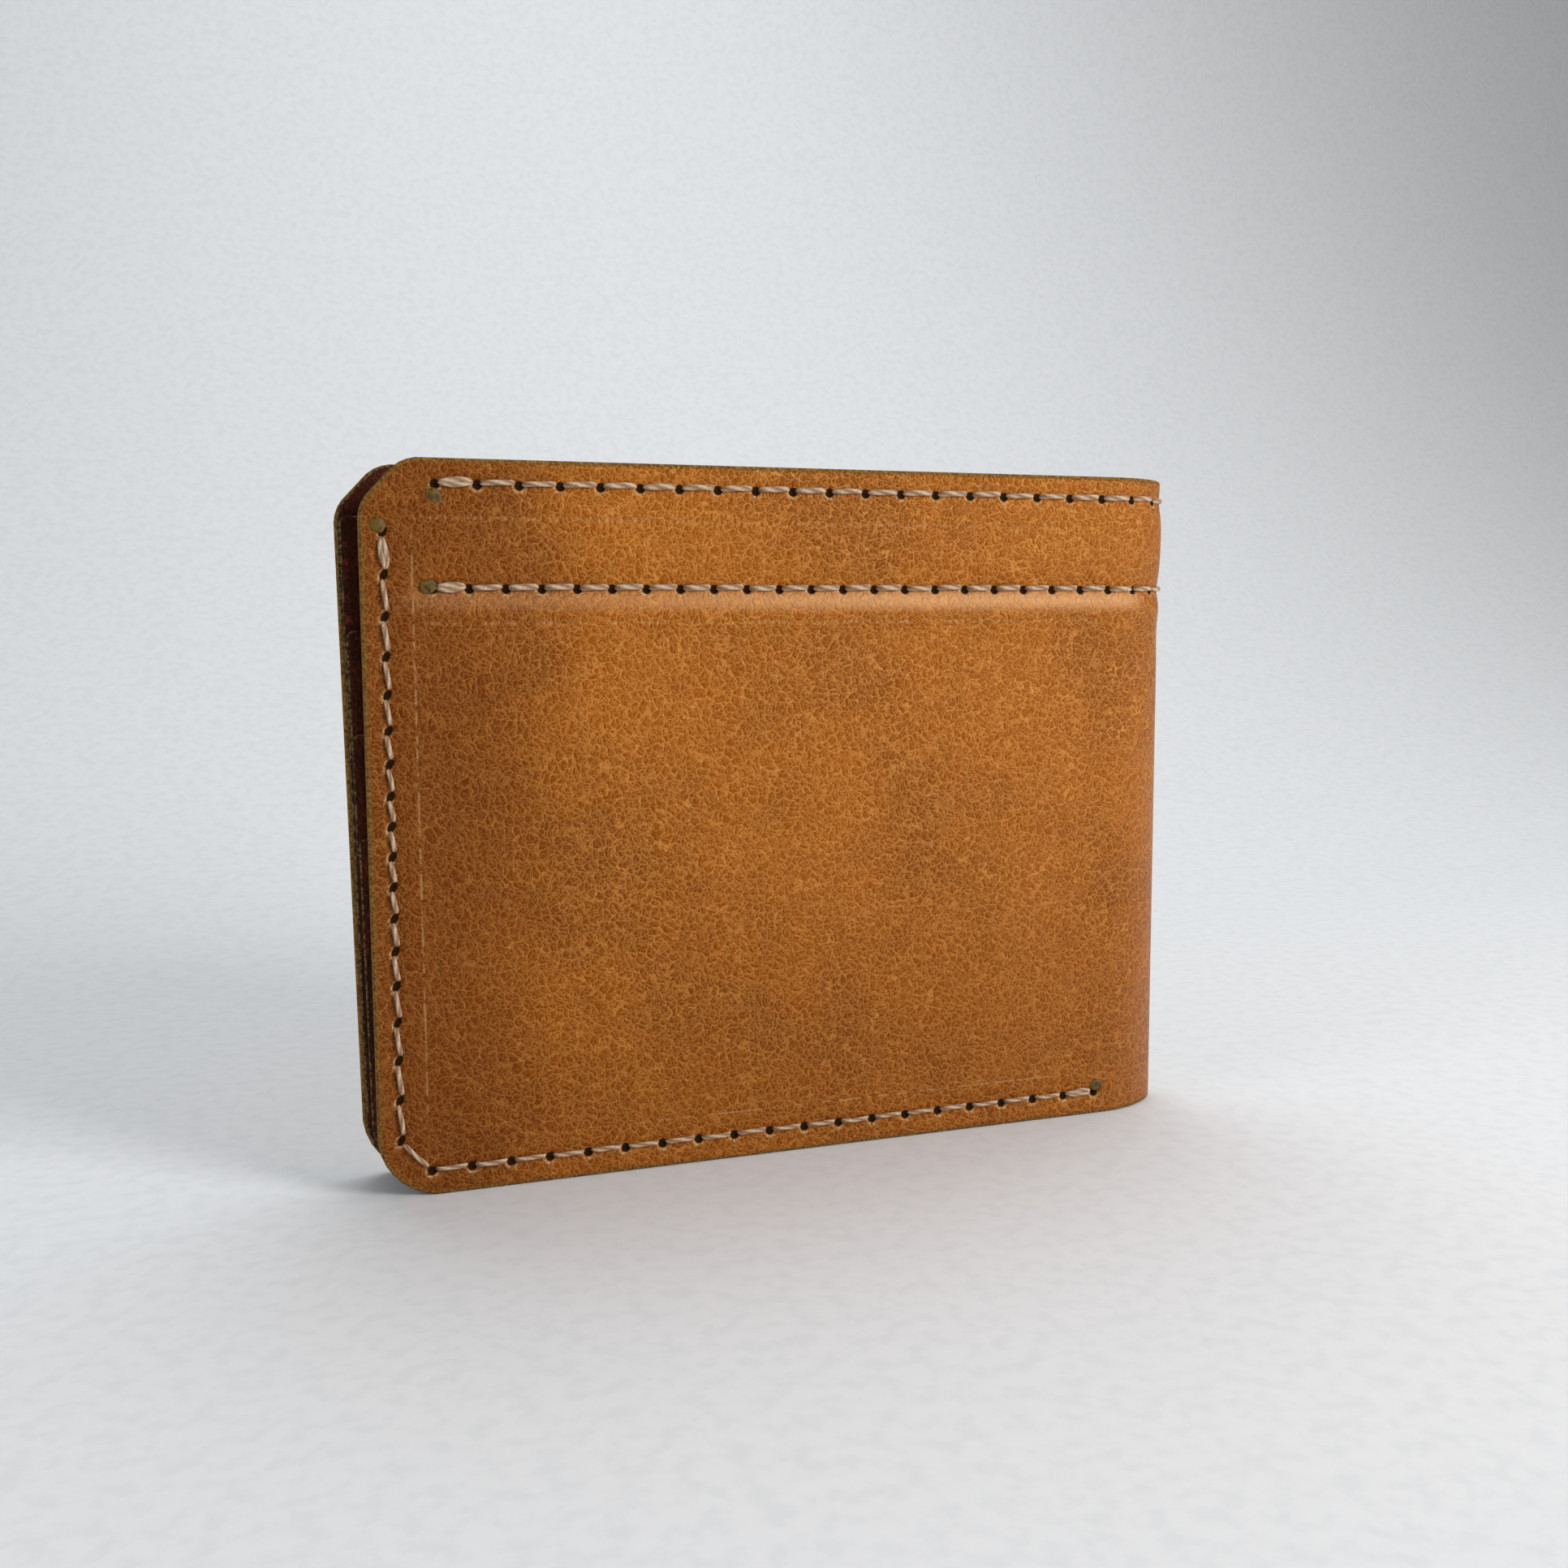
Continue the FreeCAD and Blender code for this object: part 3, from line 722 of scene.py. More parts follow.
@dataclass(frozen=True)
class StudioPaper:
    """Matt seamless background paper, nearly white, with a faint fibre."""

    base: str = "E9EBEC"
    fleck: str = "DDE0E1"

    def material(self) -> bpy.types.Material:
        """Builds the paper's material.

        Returns:
            The material.
        """
        r = Recipe("studio_paper")
        place = r.add("TexCoord", out="Object")
        fibre = r.add("TexNoise", {"Vector": place, "Scale": 400.0, "Detail": 3.0})
        flecked = r.add("MapRange", (fibre, 0.4, 0.7, 0.0, 0.5), **SMOOTH)
        tone = r.add("Mix", {0: flecked, 6: linear(self.base), 7: linear(self.fleck)}, **COLOUR)
        return r.finish(Base_Color=tone, Roughness=0.85, Specular_IOR_Level=0.2)


@dataclass
class Wardrobe:
    """Every finish, built once."""

    hide: bpy.types.Material = field(default_factory=lambda: PullUpHide().material())
    lining: bpy.types.Material = field(default_factory=lambda: LiningLeather().material())
    thread: bpy.types.Material = field(default_factory=lambda: WaxedThread().material())
    melted: bpy.types.Material = field(default_factory=lambda: MeltedEnd().material())
    paper: bpy.types.Material = field(default_factory=lambda: StudioPaper().material())


# ---- mesh helpers ------------------------------------------------------------------------

def deselect() -> None:
    """Leaves nothing selected, in object mode."""
    if bpy.context.mode != "OBJECT":
        bpy.ops.object.mode_set(mode="OBJECT")
    bpy.ops.object.select_all(action="DESELECT")


def take(piece: bpy.types.Object) -> None:
    """Selects one piece and makes it the active one."""
    deselect()
    piece.select_set(True)
    bpy.context.view_layer.objects.active = piece


def points_of(mesh: bpy.types.Mesh) -> np.ndarray:
    """The mesh's vertices as an array."""
    found = np.empty(len(mesh.vertices) * 3, np.float64)
    mesh.vertices.foreach_get("co", found)
    return found.reshape(-1, 3)


def move_points(mesh: bpy.types.Mesh, points: np.ndarray) -> None:
    """Puts the mesh's vertices where the array says."""
    mesh.vertices.foreach_set("co", points.astype(np.float32).ravel())
    mesh.update()


def store(mesh: bpy.types.Mesh, name: str, values: np.ndarray) -> None:
    """Writes a number or a vector at each vertex as a named attribute."""
    kind, key = ("FLOAT", "value") if values.ndim == 1 else ("FLOAT_VECTOR", "vector")
    layer = mesh.attributes.get(name) or mesh.attributes.new(name, kind, "POINT")
    layer.data.foreach_set(key, values.astype(np.float32).ravel())


def bell(distance: np.ndarray, width: float) -> np.ndarray:
    """A smooth bump of height one at no distance."""
    return np.exp(-(distance / width) ** 2)


def smooth(value: np.ndarray, low: float, high: float) -> np.ndarray:
    """A smooth step from zero at low to one at high."""
    t = np.clip((value - low) / (high - low), 0.0, 1.0)
    return t * t * (3 - 2 * t)


@contextmanager
def editing(piece: bpy.types.Object, whole: bool = True) -> Iterator[None]:
    """Opens a piece's mesh for editing and closes it afterwards.

    Args:
        piece: The piece.
        whole: Whether all of the mesh gets selected. If not, the selection stays as it was.

    Yields:
        Nothing, while the mesh is open.
    """
    take(piece)
    bpy.ops.object.mode_set(mode="EDIT")
    if whole:
        bpy.ops.mesh.select_all(action="SELECT")
    yield
    bpy.ops.object.mode_set(mode="OBJECT")


def pick_none(piece: bpy.types.Object, kind: str) -> None:
    """Leaves none of a mesh selected.

    Args:
        piece: The piece.
        kind: What can be selected next, FACE or EDGE.
    """
    with editing(piece, whole=False):
        bpy.ops.mesh.select_mode(type=kind)
        bpy.ops.mesh.select_all(action="DESELECT")


def close_up(piece: bpy.types.Object, sharp: float) -> None:
    """Points the faces outwards and smooths all but the sharp edges.

    Args:
        piece: The piece.
        sharp: The turn, in degrees, from which an edge is sharp.
    """
    with editing(piece):
        bpy.ops.mesh.normals_make_consistent(inside=False)
    bpy.ops.object.shade_smooth_by_angle(angle=math.radians(sharp))


# ---- outlines ----------------------------------------------------------------------------

@dataclass(frozen=True)
class Cut:
    """A straight cut through a flat sheet: a point on it and the way to the waste."""

    at: Place
    out: Place

    def margin(self, s: np.ndarray, z: np.ndarray) -> np.ndarray:
        """Distance from the cut to places inside the sheet."""
        return (self.at[0] - s) * self.out[0] + (self.at[1] - z) * self.out[1]


def cuts_round(corners: Sequence[Corner], open_side: int | None = None) -> list[Cut]:
    """The cuts that leave a convex outline with rounded corners.

    Args:
        corners: The corners in order, turning right.
        open_side: Number of the side, counted from its first corner, that isn't cut.

    Returns:
        A cut along each side and a few round each corner.
    """
    count = len(corners)
    outs = []
    for i in range(count):
        ds = corners[(i + 1) % count][0] - corners[i][0]
        dz = corners[(i + 1) % count][1] - corners[i][1]
        length = math.hypot(ds, dz)
        outs.append((-dz / length, ds / length))
    cuts = []
    for i, (s, z, radius) in enumerate(corners):
        if i != open_side:
            cuts.append(Cut((s, z), outs[i]))
        before, after = outs[i - 1], outs[i]
        if radius == 0:
            continue
        spread = 1 + before[0] * after[0] + before[1] * after[1]
        middle = (
            s - radius * (before[0] + after[0]) / spread,
            z - radius * (before[1] + after[1]) / spread,
        )
        first = math.atan2(before[1], before[0])
        turn = (first - math.atan2(after[1], after[0])) % (2 * math.pi)
        pieces = max(2, round(turn / CORNER_STEP))
        for k in range(1, pieces):
            angle = first - turn * k / pieces
            out = (math.cos(angle), math.sin(angle))
            cuts.append(Cut((middle[0] + radius * out[0], middle[1] + radius * out[1]), out))
    return cuts


# ---- leather sheets ----------------------------------------------------------------------

@dataclass
class Sheet:
    """A flat ply of leather that is cut, given its thickness and folded into place."""

    name: str
    form: WalletForm
    side: Side
    corners: Sequence[Corner]
    depth: float
    thick: float
    mesh_step: float = 1.5
    open_side: int | None = None
    notches: Sequence[Box] = ()
    strips: Sequence[Box] = ()
    strip_cuts: int = 2
    holes: Sequence[Place] = ()
    slots: Sequence[Place] = ()
    slot_lean: float = math.radians(28.0)
    slot_shape: tuple[float, float] = (0.72, 1.2)
    far: float = 9.0
    dimple_width: float = 0.62
    ring_reach: float = 1.15
    ring_width: float = 0.4
    ring_share: float = 0.16
    relief: Callable[[np.ndarray, np.ndarray], np.ndarray] | None = None
    edge_round: float = 0.16
    hole_dent: float = 0.0

    def build(self) -> bpy.types.Object:
        """Cuts, thickens, shapes and folds the sheet.

        Returns:
            The finished piece, at the origin.
        """
        piece = self.blank()
        self.refine(piece)
        cuts = cuts_round(self.corners, self.open_side)
        self.trim(piece, cuts)
        self.notch(piece)
        self.thicken(piece)
        self.shape(piece, cuts)
        close_up(piece, 50.0)
        return piece

    def blank(self) -> bpy.types.Object:
        """Makes a flat grid that is as large as the outline, in the XZ plane.

        Returns:
            The grid.
        """
        deselect()
        low_s, high_s = (pick(c[0] for c in self.corners) for pick in (min, max))
        low_z, high_z = (pick(c[1] for c in self.corners) for pick in (min, max))
        bpy.ops.mesh.primitive_grid_add(
            x_subdivisions=round((high_s - low_s) / self.mesh_step),
            y_subdivisions=round((high_z - low_z) / self.mesh_step),
            size=1.0,
            rotation=(math.pi / 2, 0.0, 0.0),
            location=((low_s + high_s) / 2 * MM, 0.0, (low_z + high_z) / 2 * MM),
        )
        piece = bpy.context.object
        piece.name = piece.data.name = self.name
        piece.scale = ((high_s - low_s) * MM, (high_z - low_z) * MM, 1.0)
        bpy.ops.object.transform_apply(location=True, rotation=True, scale=True)
        return piece

    def refine(self, piece: bpy.types.Object) -> None:
        """Divides the faces that the stitches press on."""
        for strip in self.strips:
            self.pick_faces(piece, strip)
            with editing(piece, whole=False):
                bpy.ops.mesh.subdivide(number_cuts=self.strip_cuts)

    def pick_faces(self, piece: bpy.types.Object, box: Box) -> None:
        """Selects the faces whose middle lies in a rectangle.

        Args:
            piece: The sheet while it is flat.
            box: The rectangle.
        """
        pick_none(piece, "FACE")
        mesh = piece.data
        middles = np.empty(len(mesh.polygons) * 3)
        mesh.polygons.foreach_get("center", middles)
        s, _, z = middles.reshape(-1, 3).T / MM
        s_from, s_to, z_from, z_to = box
        chosen = (s > s_from) & (s < s_to) & (z > z_from) & (z < z_to)
        mesh.polygons.foreach_set("select", chosen)

    def trim(self, piece: bpy.types.Object, cuts: Sequence[Cut]) -> None:
        """Cuts the outline and adds the loops that its rounded rim needs.

        Args:
            piece: The sheet while it is flat.
            cuts: The cuts round its outline.
        """
        with editing(piece):
            for cut in cuts:
                for inward in (0.0, 0.3 * self.edge_round, self.edge_round):
                    at = [place - inward * out for place, out in zip(cut.at, cut.out)]
                    self.divide(at, cut.out, clear=inward == 0.0)
            bpy.ops.mesh.select_all(action="SELECT")
            bpy.ops.mesh.remove_doubles(threshold=WELD)

    def divide(self, at: Sequence[float], out: Place, clear: bool = False) -> None:
        """Divides the open mesh along a straight line.

        Args:
            at: A place on the line.
            out: The way that counts as outside it.
            clear: Whether what lies outside is cut away.
        """
        bpy.ops.mesh.select_all(action="SELECT")
        bpy.ops.mesh.bisect(
            plane_co=(at[0] * MM, 0.0, at[1] * MM), plane_no=(out[0], 0.0, out[1]), clear_outer=clear,
            threshold=SNAP)

    def notch(self, piece: bpy.types.Object) -> None:
        """Cuts the notches out of the sheet."""
        for box in self.notches:
            s_from, s_to, _, z_to = box
            with editing(piece):
                for at, out in (((s_from, 0), (1, 0)), ((s_to, 0), (1, 0)), ((0, z_to), (0, 1))):
                    self.divide(at, out)
            self.pick_faces(piece, box)
            with editing(piece, whole=False):
                bpy.ops.mesh.delete(type="FACE")

    def thicken(self, piece: bpy.types.Object) -> None:
        """Draws the sheet out to its thickness."""
        with editing(piece):
            bpy.ops.mesh.extrude_region_move(
                TRANSFORM_OT_translate={"value": (0.0, self.thick * MM, 0.0)})

    def nearest_hole(self, s: np.ndarray, z: np.ndarray) -> tuple[np.ndarray, np.ndarray]:
        """Offsets from each place to its nearest hole, a slanted slot's made round.

        Args:
            s: Lengths of the places.
            z: Heights of the places.

        Returns:
            The offsets along and across, in which every hole is a circle.
        """
        best = np.full(len(s), np.inf)
        along, across = np.full(len(s), self.far), np.full(len(s), self.far)
        sin_lean, cos_lean = math.sin(self.slot_lean), math.cos(self.slot_lean)
        short, long = self.slot_shape
        for (hole_s, hole_z), slanted in [(h, False) for h in self.holes] + [(h, True) for h in self.slots]:
            ds, dz = s - hole_s, z - hole_z
            if slanted:
                long_way = ds * sin_lean + dz * cos_lean
                short_way = ds * cos_lean - dz * sin_lean
                ds, dz = short_way / short, long_way / long
            reach = ds * ds + dz * dz
            closer = reach < best
            best[closer] = reach[closer]
            along[closer], across[closer] = ds[closer], dz[closer]
        return along, across

    def shape(self, piece: bpy.types.Object, cuts: Sequence[Cut]) -> None:
        """Rounds the rim, presses in the holes, adds the relief and folds the sheet.

        Args:
            piece: The sheet, flat and with its thickness.
            cuts: The cuts round its outline.
        """
        mesh = piece.data
        s, d, z = points_of(mesh).T / MM
        outer_face = d < self.thick / 2
        margin = np.min([cut.margin(s, z) for cut in cuts], axis=0).clip(0.0)
        for s_from, s_to, z_from, z_to in self.notches:
            gap_s = np.maximum(s_from - s, s - s_to)
            gap_z = np.maximum(z_from - z, z - z_to)
            margin = np.minimum(margin, np.maximum(gap_s, gap_z).clip(0.0))
        along, across = self.nearest_hole(s, z)
        reach = np.hypot(along, across)
        total_s = s if self.side is Side.FRONT else 2 * self.form.nose_length - s
        store(mesh, "flat", np.column_stack([total_s, z, d]))
        store(mesh, "mark", np.column_stack([along, across, margin]))
        store(mesh, "reach", reach)
        inward = (self.edge_round - margin).clip(0.0)
        rounding = self.edge_round - np.sqrt((self.edge_round ** 2 - inward ** 2).clip(0.0))
        # Each hole is a dimple inside a slight ring.
        ring = self.ring_share * bell(reach - self.ring_reach, self.ring_width)
        dent = self.hole_dent * (bell(reach, self.dimple_width) - ring)
        lift = self.relief(s, z) if self.relief else np.zeros(len(s))
        outer_d = rounding + dent - lift
        inner_d = self.thick - rounding - 0.5 * lift
        d = np.where(outer_face, outer_d, inner_d) + self.depth
        move_points(mesh, self.form.fold(np.column_stack([s, z, d]), self.side))


# ---- stitches ----------------------------------------------------------------------------

@dataclass
class StitchRow:
    """A row of stitches with a stitch from each hole to the next, on one or both faces."""

    name: str
    form: WalletForm
    side: Side
    holes: Sequence[Place]
    outer_depth: float = 0.0
    inner_depths: Sequence[float] = ()
    style: Fastening = Fastening.LEVEL
    doubled: Sequence[int] = ()
    ends: Sequence[tuple[Place, Place]] = ()
    seed: int = 1
    radius: float = 0.36
    proud: float = 0.12
    sides: int = 8
    rings: int = 8
    thinning: float = 0.35
    dive: float = 0.85
    flatness: float = 0.92
    twins: tuple[float, float] = (-0.3, 0.3)
    inner_share: float = 0.75
    inner_sunk: float = 0.12
    bead_radii: tuple[float, float, float] = (1.02, 0.92, 0.3)
    bead_sunk: float = 0.1

    def template(self) -> bpy.types.Object:
        """Makes the tube that every stitch is a copy of.

        Returns:
            A closed tube along X, one metre long and one in radius.
        """
        deselect()
        bpy.ops.mesh.primitive_circle_add(
            vertices=self.sides, radius=1.0, fill_type="NGON", rotation=(0.0, math.pi / 2, 0.0))
        tube = bpy.context.object
        tube.name = tube.data.name = self.name + "_stitch"
        bpy.ops.object.transform_apply(location=True, rotation=True, scale=True)
        with editing(tube):
            for _ in range(self.rings):
                bpy.ops.mesh.extrude_region_move(
                    TRANSFORM_OT_translate={"value": (1.0 / self.rings, 0.0, 0.0)})
            bpy.ops.mesh.select_all(action="SELECT")
            bpy.ops.mesh.normals_make_consistent(inside=False)
        return tube

    def lay(self, tube: bpy.types.Object, start: Place, end: Place, depth: float, inward: float,
            radius: float, wander: float, run_from: float) -> bpy.types.Object:
        """Lays a copy of the template from one hole to the next.

        Args:
            tube: The template.
            start: The stitch's first hole.
            end: Its second hole.
            depth: Depth of the face that it lies on.
            inward: One on an outer face and minus one on an inner one.
            radius: The thread's radius.
            wander: How far its middle bows across the line.
            run_from: Length of thread used so far, for the twist.

        Returns:
            The stitch as a piece with its own mesh.
        """
        made = tube.copy()
        made.data = tube.data.copy()
        bpy.context.collection.objects.link(made)
        t, round_s, round_d = points_of(made.data).T
        length = math.hypot(end[0] - start[0], end[1] - start[1])
        across = ((end[1] - start[1]) / length, -(end[0] - start[0]) / length)
        bow = wander * np.sin(np.pi * t)
        # Towards its two holes the stitch grows thinner and dives into the leather.
        pinch = 1.0 - self.thinning * np.abs(2 * t - 1) ** 6
        sink = -self.proud + self.dive * np.abs(2 * t - 1) ** 7
        side_way = bow + round_s * radius * pinch
        s = start[0] + (end[0] - start[0]) * t + across[0] * side_way
        z = start[1] + (end[1] - start[1]) * t + across[1] * side_way
        d = depth + inward * (sink - round_d * radius * pinch * self.flatness)
        store(made.data, "strand", np.column_stack([round_s, round_d, run_from + length * t]))
        move_points(made.data, self.form.fold(np.column_stack([s, z, d]), self.side))
        return made

    def inset_ends(self, start: Place, end: Place, noise: random.Random) -> tuple[Place, Place]:
        """Where the visible thread leaves one hole and enters the next.

        Args:
            start: The stitch's first hole.
            end: Its second hole.
            noise: For how high in its holes a level stitch lies.

        Returns:
            The visible thread's two ends.
        """
        ds, dz = end[0] - start[0], end[1] - start[1]
        if self.style is Fastening.SLANTED and dz < -0.5 and abs(ds) < 2.0:
            return (start[0] - 0.26, start[1] - 0.46), (end[0] + 0.28, end[1] + 0.56)
        length = math.hypot(ds, dz)
        ds, dz = ds / length, dz / length
        lift = (0.16 + noise.uniform(-0.05, 0.05)) * (abs(dz) < 0.2)
        return (
            (start[0] + 0.32 * ds, start[1] + 0.32 * dz + lift - 0.08),
            (end[0] - 0.36 * ds, end[1] - 0.36 * dz + lift + 0.06),
        )

    def bead(self, hole: Place, offset: Place, noise: random.Random) -> bpy.types.Object:
        """The flattened lump of a melted end.

        Args:
            hole: The hole that the end comes out of.
            offset: From the hole to the lump's middle.
            noise: For its uneven outline.

        Returns:
            The lump.
        """
        deselect()
        bpy.ops.mesh.primitive_uv_sphere_add(segments=20, ring_count=10, radius=1.0)
        lump = bpy.context.object
        points = points_of(lump.data)
        turn = noise.uniform(0.0, math.tau)
        round_it = np.arctan2(points[:, 1], points[:, 0])
        swell = 1.0 + 0.07 * np.sin(2 * round_it + turn) + 0.04 * np.sin(5 * round_it + 2 * turn)
        wide, high, thick = self.bead_radii
        s = hole[0] + offset[0] + points[:, 0] * wide * swell
        z = hole[1] + offset[1] + points[:, 1] * high * swell
        d = self.outer_depth + self.bead_sunk - points[:, 2] * thick
        store(lump.data, "strand", points)
        move_points(lump.data, self.form.fold(np.column_stack([s, z, d]), self.side))
        return lump

    def build(self, wardrobe: Wardrobe) -> bpy.types.Object:
        """Makes every stitch of the row as one piece.

        Args:
            wardrobe: The finishes.

        Returns:
            The piece.
        """
        noise = random.Random(self.seed)
        tube = self.template()
        tube.data.materials.append(wardrobe.thread)
        stitches = []
        run = noise.uniform(0.0, 1.0)
        for k, (start, end) in enumerate(zip(self.holes, self.holes[1:])):
            first, last = self.inset_ends(start, end, noise)
            bow = noise.uniform(-0.07, 0.07)
            size = self.radius * noise.uniform(0.93, 1.07)
            for apart in self.twins if k in self.doubled else (0.0,):
                stitches.append(self.lay(tube, first, last, self.outer_depth, 1.0, size, bow + apart, run))
                run += noise.uniform(0.2, 1.2)
            run += math.hypot(end[0] - start[0], end[1] - start[1])
            if self.inner_depths:
                depth = max(self.inner_depths[k], self.inner_depths[k + 1]) - self.inner_sunk
                thin = self.inner_share * size
                stitches.append(self.lay(tube, first, last, depth, -1.0, thin, -bow, run + 0.7))
        lumps = [self.bead(hole, offset, noise) for hole, offset in self.ends]
        for lump in lumps:
            lump.data.materials.append(wardrobe.melted)
        bpy.data.objects.remove(tube)
        deselect()
        for made in stitches + lumps:
            made.select_set(True)
        bpy.context.view_layer.objects.active = stitches[0]
        bpy.ops.object.join()
        piece = bpy.context.object
        piece.name = piece.data.name = self.name
        close_up(piece, 60.0)
        return piece


# ---- the wallet --------------------------------------------------------------------------

@dataclass
class Half:
    """The flat plies and seams of one half, and its share of what runs round the fold."""

    form: WalletForm
    seams: Seams
    wardrobe: Wardrobe
    side: Side
    overhang_low: float
    overhang_high: float
    band_low: float = 70.4
    corner_radius: float = 8.0
    chamfer_length: float = 5.2
    chamfer_height: float = 5.6
    chamfer_round: float = 5.0
    panel_top: float = 83.5
    slot_tops: tuple[float, float] = (69.6, 56.9)
    pocket_top: float = 44.1
    arm_height: float = 15.0
    stem_lows: tuple[float, float] = (24.0, 12.0)
    stem_side: float = 12.0
    ply_corner: float = 1.0
    panel_short: float = 0.6
    slot_short: float = 1.0
    pocket_short: float = 1.4
    strip_half: float = 1.6
    press_reach: float = 2.0
    hole_drop: float = 0.1

    def open_edge(self, z: float) -> float:
        """Where the hide's open edge is at a height."""
        return -(self.overhang_low + (self.overhang_high - self.overhang_low) * z / self.form.height)

    def lies_on(self, places: Sequence[Place]) -> list[Place]:
        """The holes of a row round the fold, as this half measures them.

        Args:
            places: The row's holes, from the front open edge.

        Returns:
            The holes, from this half's open edge.
        """
        if self.side is Side.FRONT:
            return list(places)
        whole = 2 * self.form.nose_length
        return [(whole - s, z) for s, z in places]

    def near(self, places: Sequence[Place]) -> list[Place]:
        """Those of them that press on this half's share of the hide."""
        limit = self.form.nose_length + self.press_reach
        return [(s, z) for s, z in self.lies_on(places) if s < limit]

    def hide_corners(self, low: float, high: float, inset: float, radius: float) -> list[Corner]:
        """Corners of a ply that reaches the tip of the nose.

        Args:
            low: Height of its lower edge.
            high: Height of its upper edge.
            inset: How far it stays inside the hide's open edge.
            radius: Radius of its lower corner at the open edge.

        Returns:
            The corners, clockwise from the bottom left.
        """
        end = self.form.nose_length
        left_low = self.open_edge(low) + inset
        left_high = self.open_edge(high) + inset
        return [
            (left_low, low, radius),
            (left_high, high - self.chamfer_height, self.chamfer_round),
            (left_high + self.chamfer_length, high, self.chamfer_round),
            (end, high, 0.0),
            (end, low, 0.0),
        ]

    def ply_corners(self, low: float, high: float, inset: float, end: float, radius: float) -> list[Corner]:
        """Corners of a ply that stops short of the fold.

        Args:
            low: Height of its lower edge.
            high: Height of its upper edge.
            inset: How far it stays inside the hide's open edge.
            end: Where it ends, near the fold.
            radius: Radius of its lower corner at the open edge.

        Returns:
            The corners, clockwise from the bottom left.
        """
        return [
            (self.open_edge(low) + inset, low, radius),
            (self.open_edge(high) + inset, high, self.ply_corner),
            (end, high, self.ply_corner),
            (end, low, 0.0),
        ]

    def hide_relief(self, s: np.ndarray, z: np.ndarray) -> np.ndarray:
        """How far the hide's face stands out, where the band, the plies and the thread move it.

        Args:
            s: Lengths of the places.
            z: Heights of the places.

        Returns:
            The lift at each place, in millimetres, outwards.
        """
        seams, nose = self.seams, self.form.nose_length
        fold_fade = 1.0 - 0.7 * smooth(s, self.form.half_length - 6.0, nose)
        in_rows = smooth(s, 4.0, 8.0)

        # Furrows along the two upper rows, the ridge over the band's edge and the dip below it.
        lift = -0.2 * bell(z - seams.top_z, 1.5) * in_rows
        lift -= 0.3 * bell(z - seams.band_z, 1.25) * in_rows
        growing = 0.45 + 0.55 * smooth(s, 20.0, 88.0)
        lift += 0.5 * bell(z - (seams.band_z - 2.7), 1.9) * in_rows * growing * fold_fade
        lift -= 0.2 * bell(z - 68.6, 3.2) * in_rows * fold_fade

        # Furrows down the open edge and along the bottom.
        column = bell(s - self.open_edge(45.0) - seams.column_inset, 1.5)
        lift -= 0.22 * column * smooth(z, 2.0, 6.0) * (1 - smooth(z, 80.0, 84.0))
        lift -= 0.2 * bell(z - seams.bottom_z, 1.4) * smooth(s, 4.0, 8.0) * (1 - smooth(s, 99.0, 102.0))

        # The middle stands out over the card slots and is slightly uneven.
        inside = smooth(s, 6.0, 24.0) * (1 - smooth(s, 84.0, 101.0))
        inside *= smooth(z, 5.0, 22.0) * (1 - smooth(z, 54.0, 69.0))
        lift += 0.55 * inside
        lift += 0.12 * np.sin(s / 9.5 + z / 17.0 + 0.6) * np.sin(z / 12.0 - s / 31.0 + 1.1) * inside

        # The band stands out between its rows, and the fold swells near its top.
        lift += 0.1 * smooth(z, 76.0, 78.5) * (1 - smooth(z, 83.0, 86.0)) * in_rows
        lift += 0.28 * bell(z - 83.0, 6.0) * smooth(s, self.form.half_length, nose)
        return lift

    def hide(self) -> bpy.types.Object:
        """Cuts this half of the outer hide, from its open edge to the tip of the nose.

        Returns:
            The piece.
        """
        seams, form, wide = self.seams, self.form, self.strip_half
        left = self.open_edge(form.height)
        strips = [
            (left, form.nose_length, seams.top_z - wide, seams.top_z + wide),
            (left, form.nose_length, seams.band_z - wide, seams.band_z + wide),
            (left, left + 7.0, 0.0, seams.top_z - wide - 0.1),
            (left + 7.1, 103.0, seams.bottom_z - wide, seams.bottom_z + wide),
        ]
        sheet = Sheet(
            "outer_hide_" + self.side.word, form, self.side,
            self.hide_corners(0.0, form.height, 0.0, self.corner_radius),
            depth=0.0, thick=form.hide_thick, mesh_step=1.0, open_side=3, strips=strips,
            holes=self.drop(self.near(seams.top()) + self.near(seams.band()) + seams.bottom()),
            slots=seams.column(self.open_edge), relief=self.hide_relief, edge_round=0.45, hole_dent=0.42)
        piece = sheet.build()
        self.dress(piece, self.wardrobe.hide)
        return piece

    def drop(self, holes: Sequence[Place]) -> list[Place]:
        """The same holes a little lower, because the thread lies above their middles."""
        return [(s, z - self.hole_drop) for s, z in holes]

    def band(self) -> bpy.types.Object:
        """Cuts this half of the lining band behind the two upper rows.

        Returns:
            The piece.
        """
        seams, form = self.seams, self.form
        sheet = Sheet(
            "lining_band_" + self.side.word, form, self.side,
            self.hide_corners(self.band_low, form.height - 0.15, 0.15, 0.0),
            depth=form.hide_thick + 0.01, thick=form.band_thick - 0.02, mesh_step=1.0, open_side=3,
            holes=self.near(seams.top()) + self.near(seams.band()) + seams.column(self.open_edge),
            edge_round=0.15)
        piece = sheet.build()
        self.dress(piece, self.wardrobe.lining)
        return piece

    def pillow(self, s: np.ndarray, z: np.ndarray) -> np.ndarray:
        """The slight waviness that an inner ply takes from the cards it has held."""
        wave = np.sin(s / 14.0 + 0.4) * np.sin(z / 11.0)
        return -0.02 * wave * smooth(s, 6.0, 20.0) * (1 - smooth(s, 80.0, 94.0))

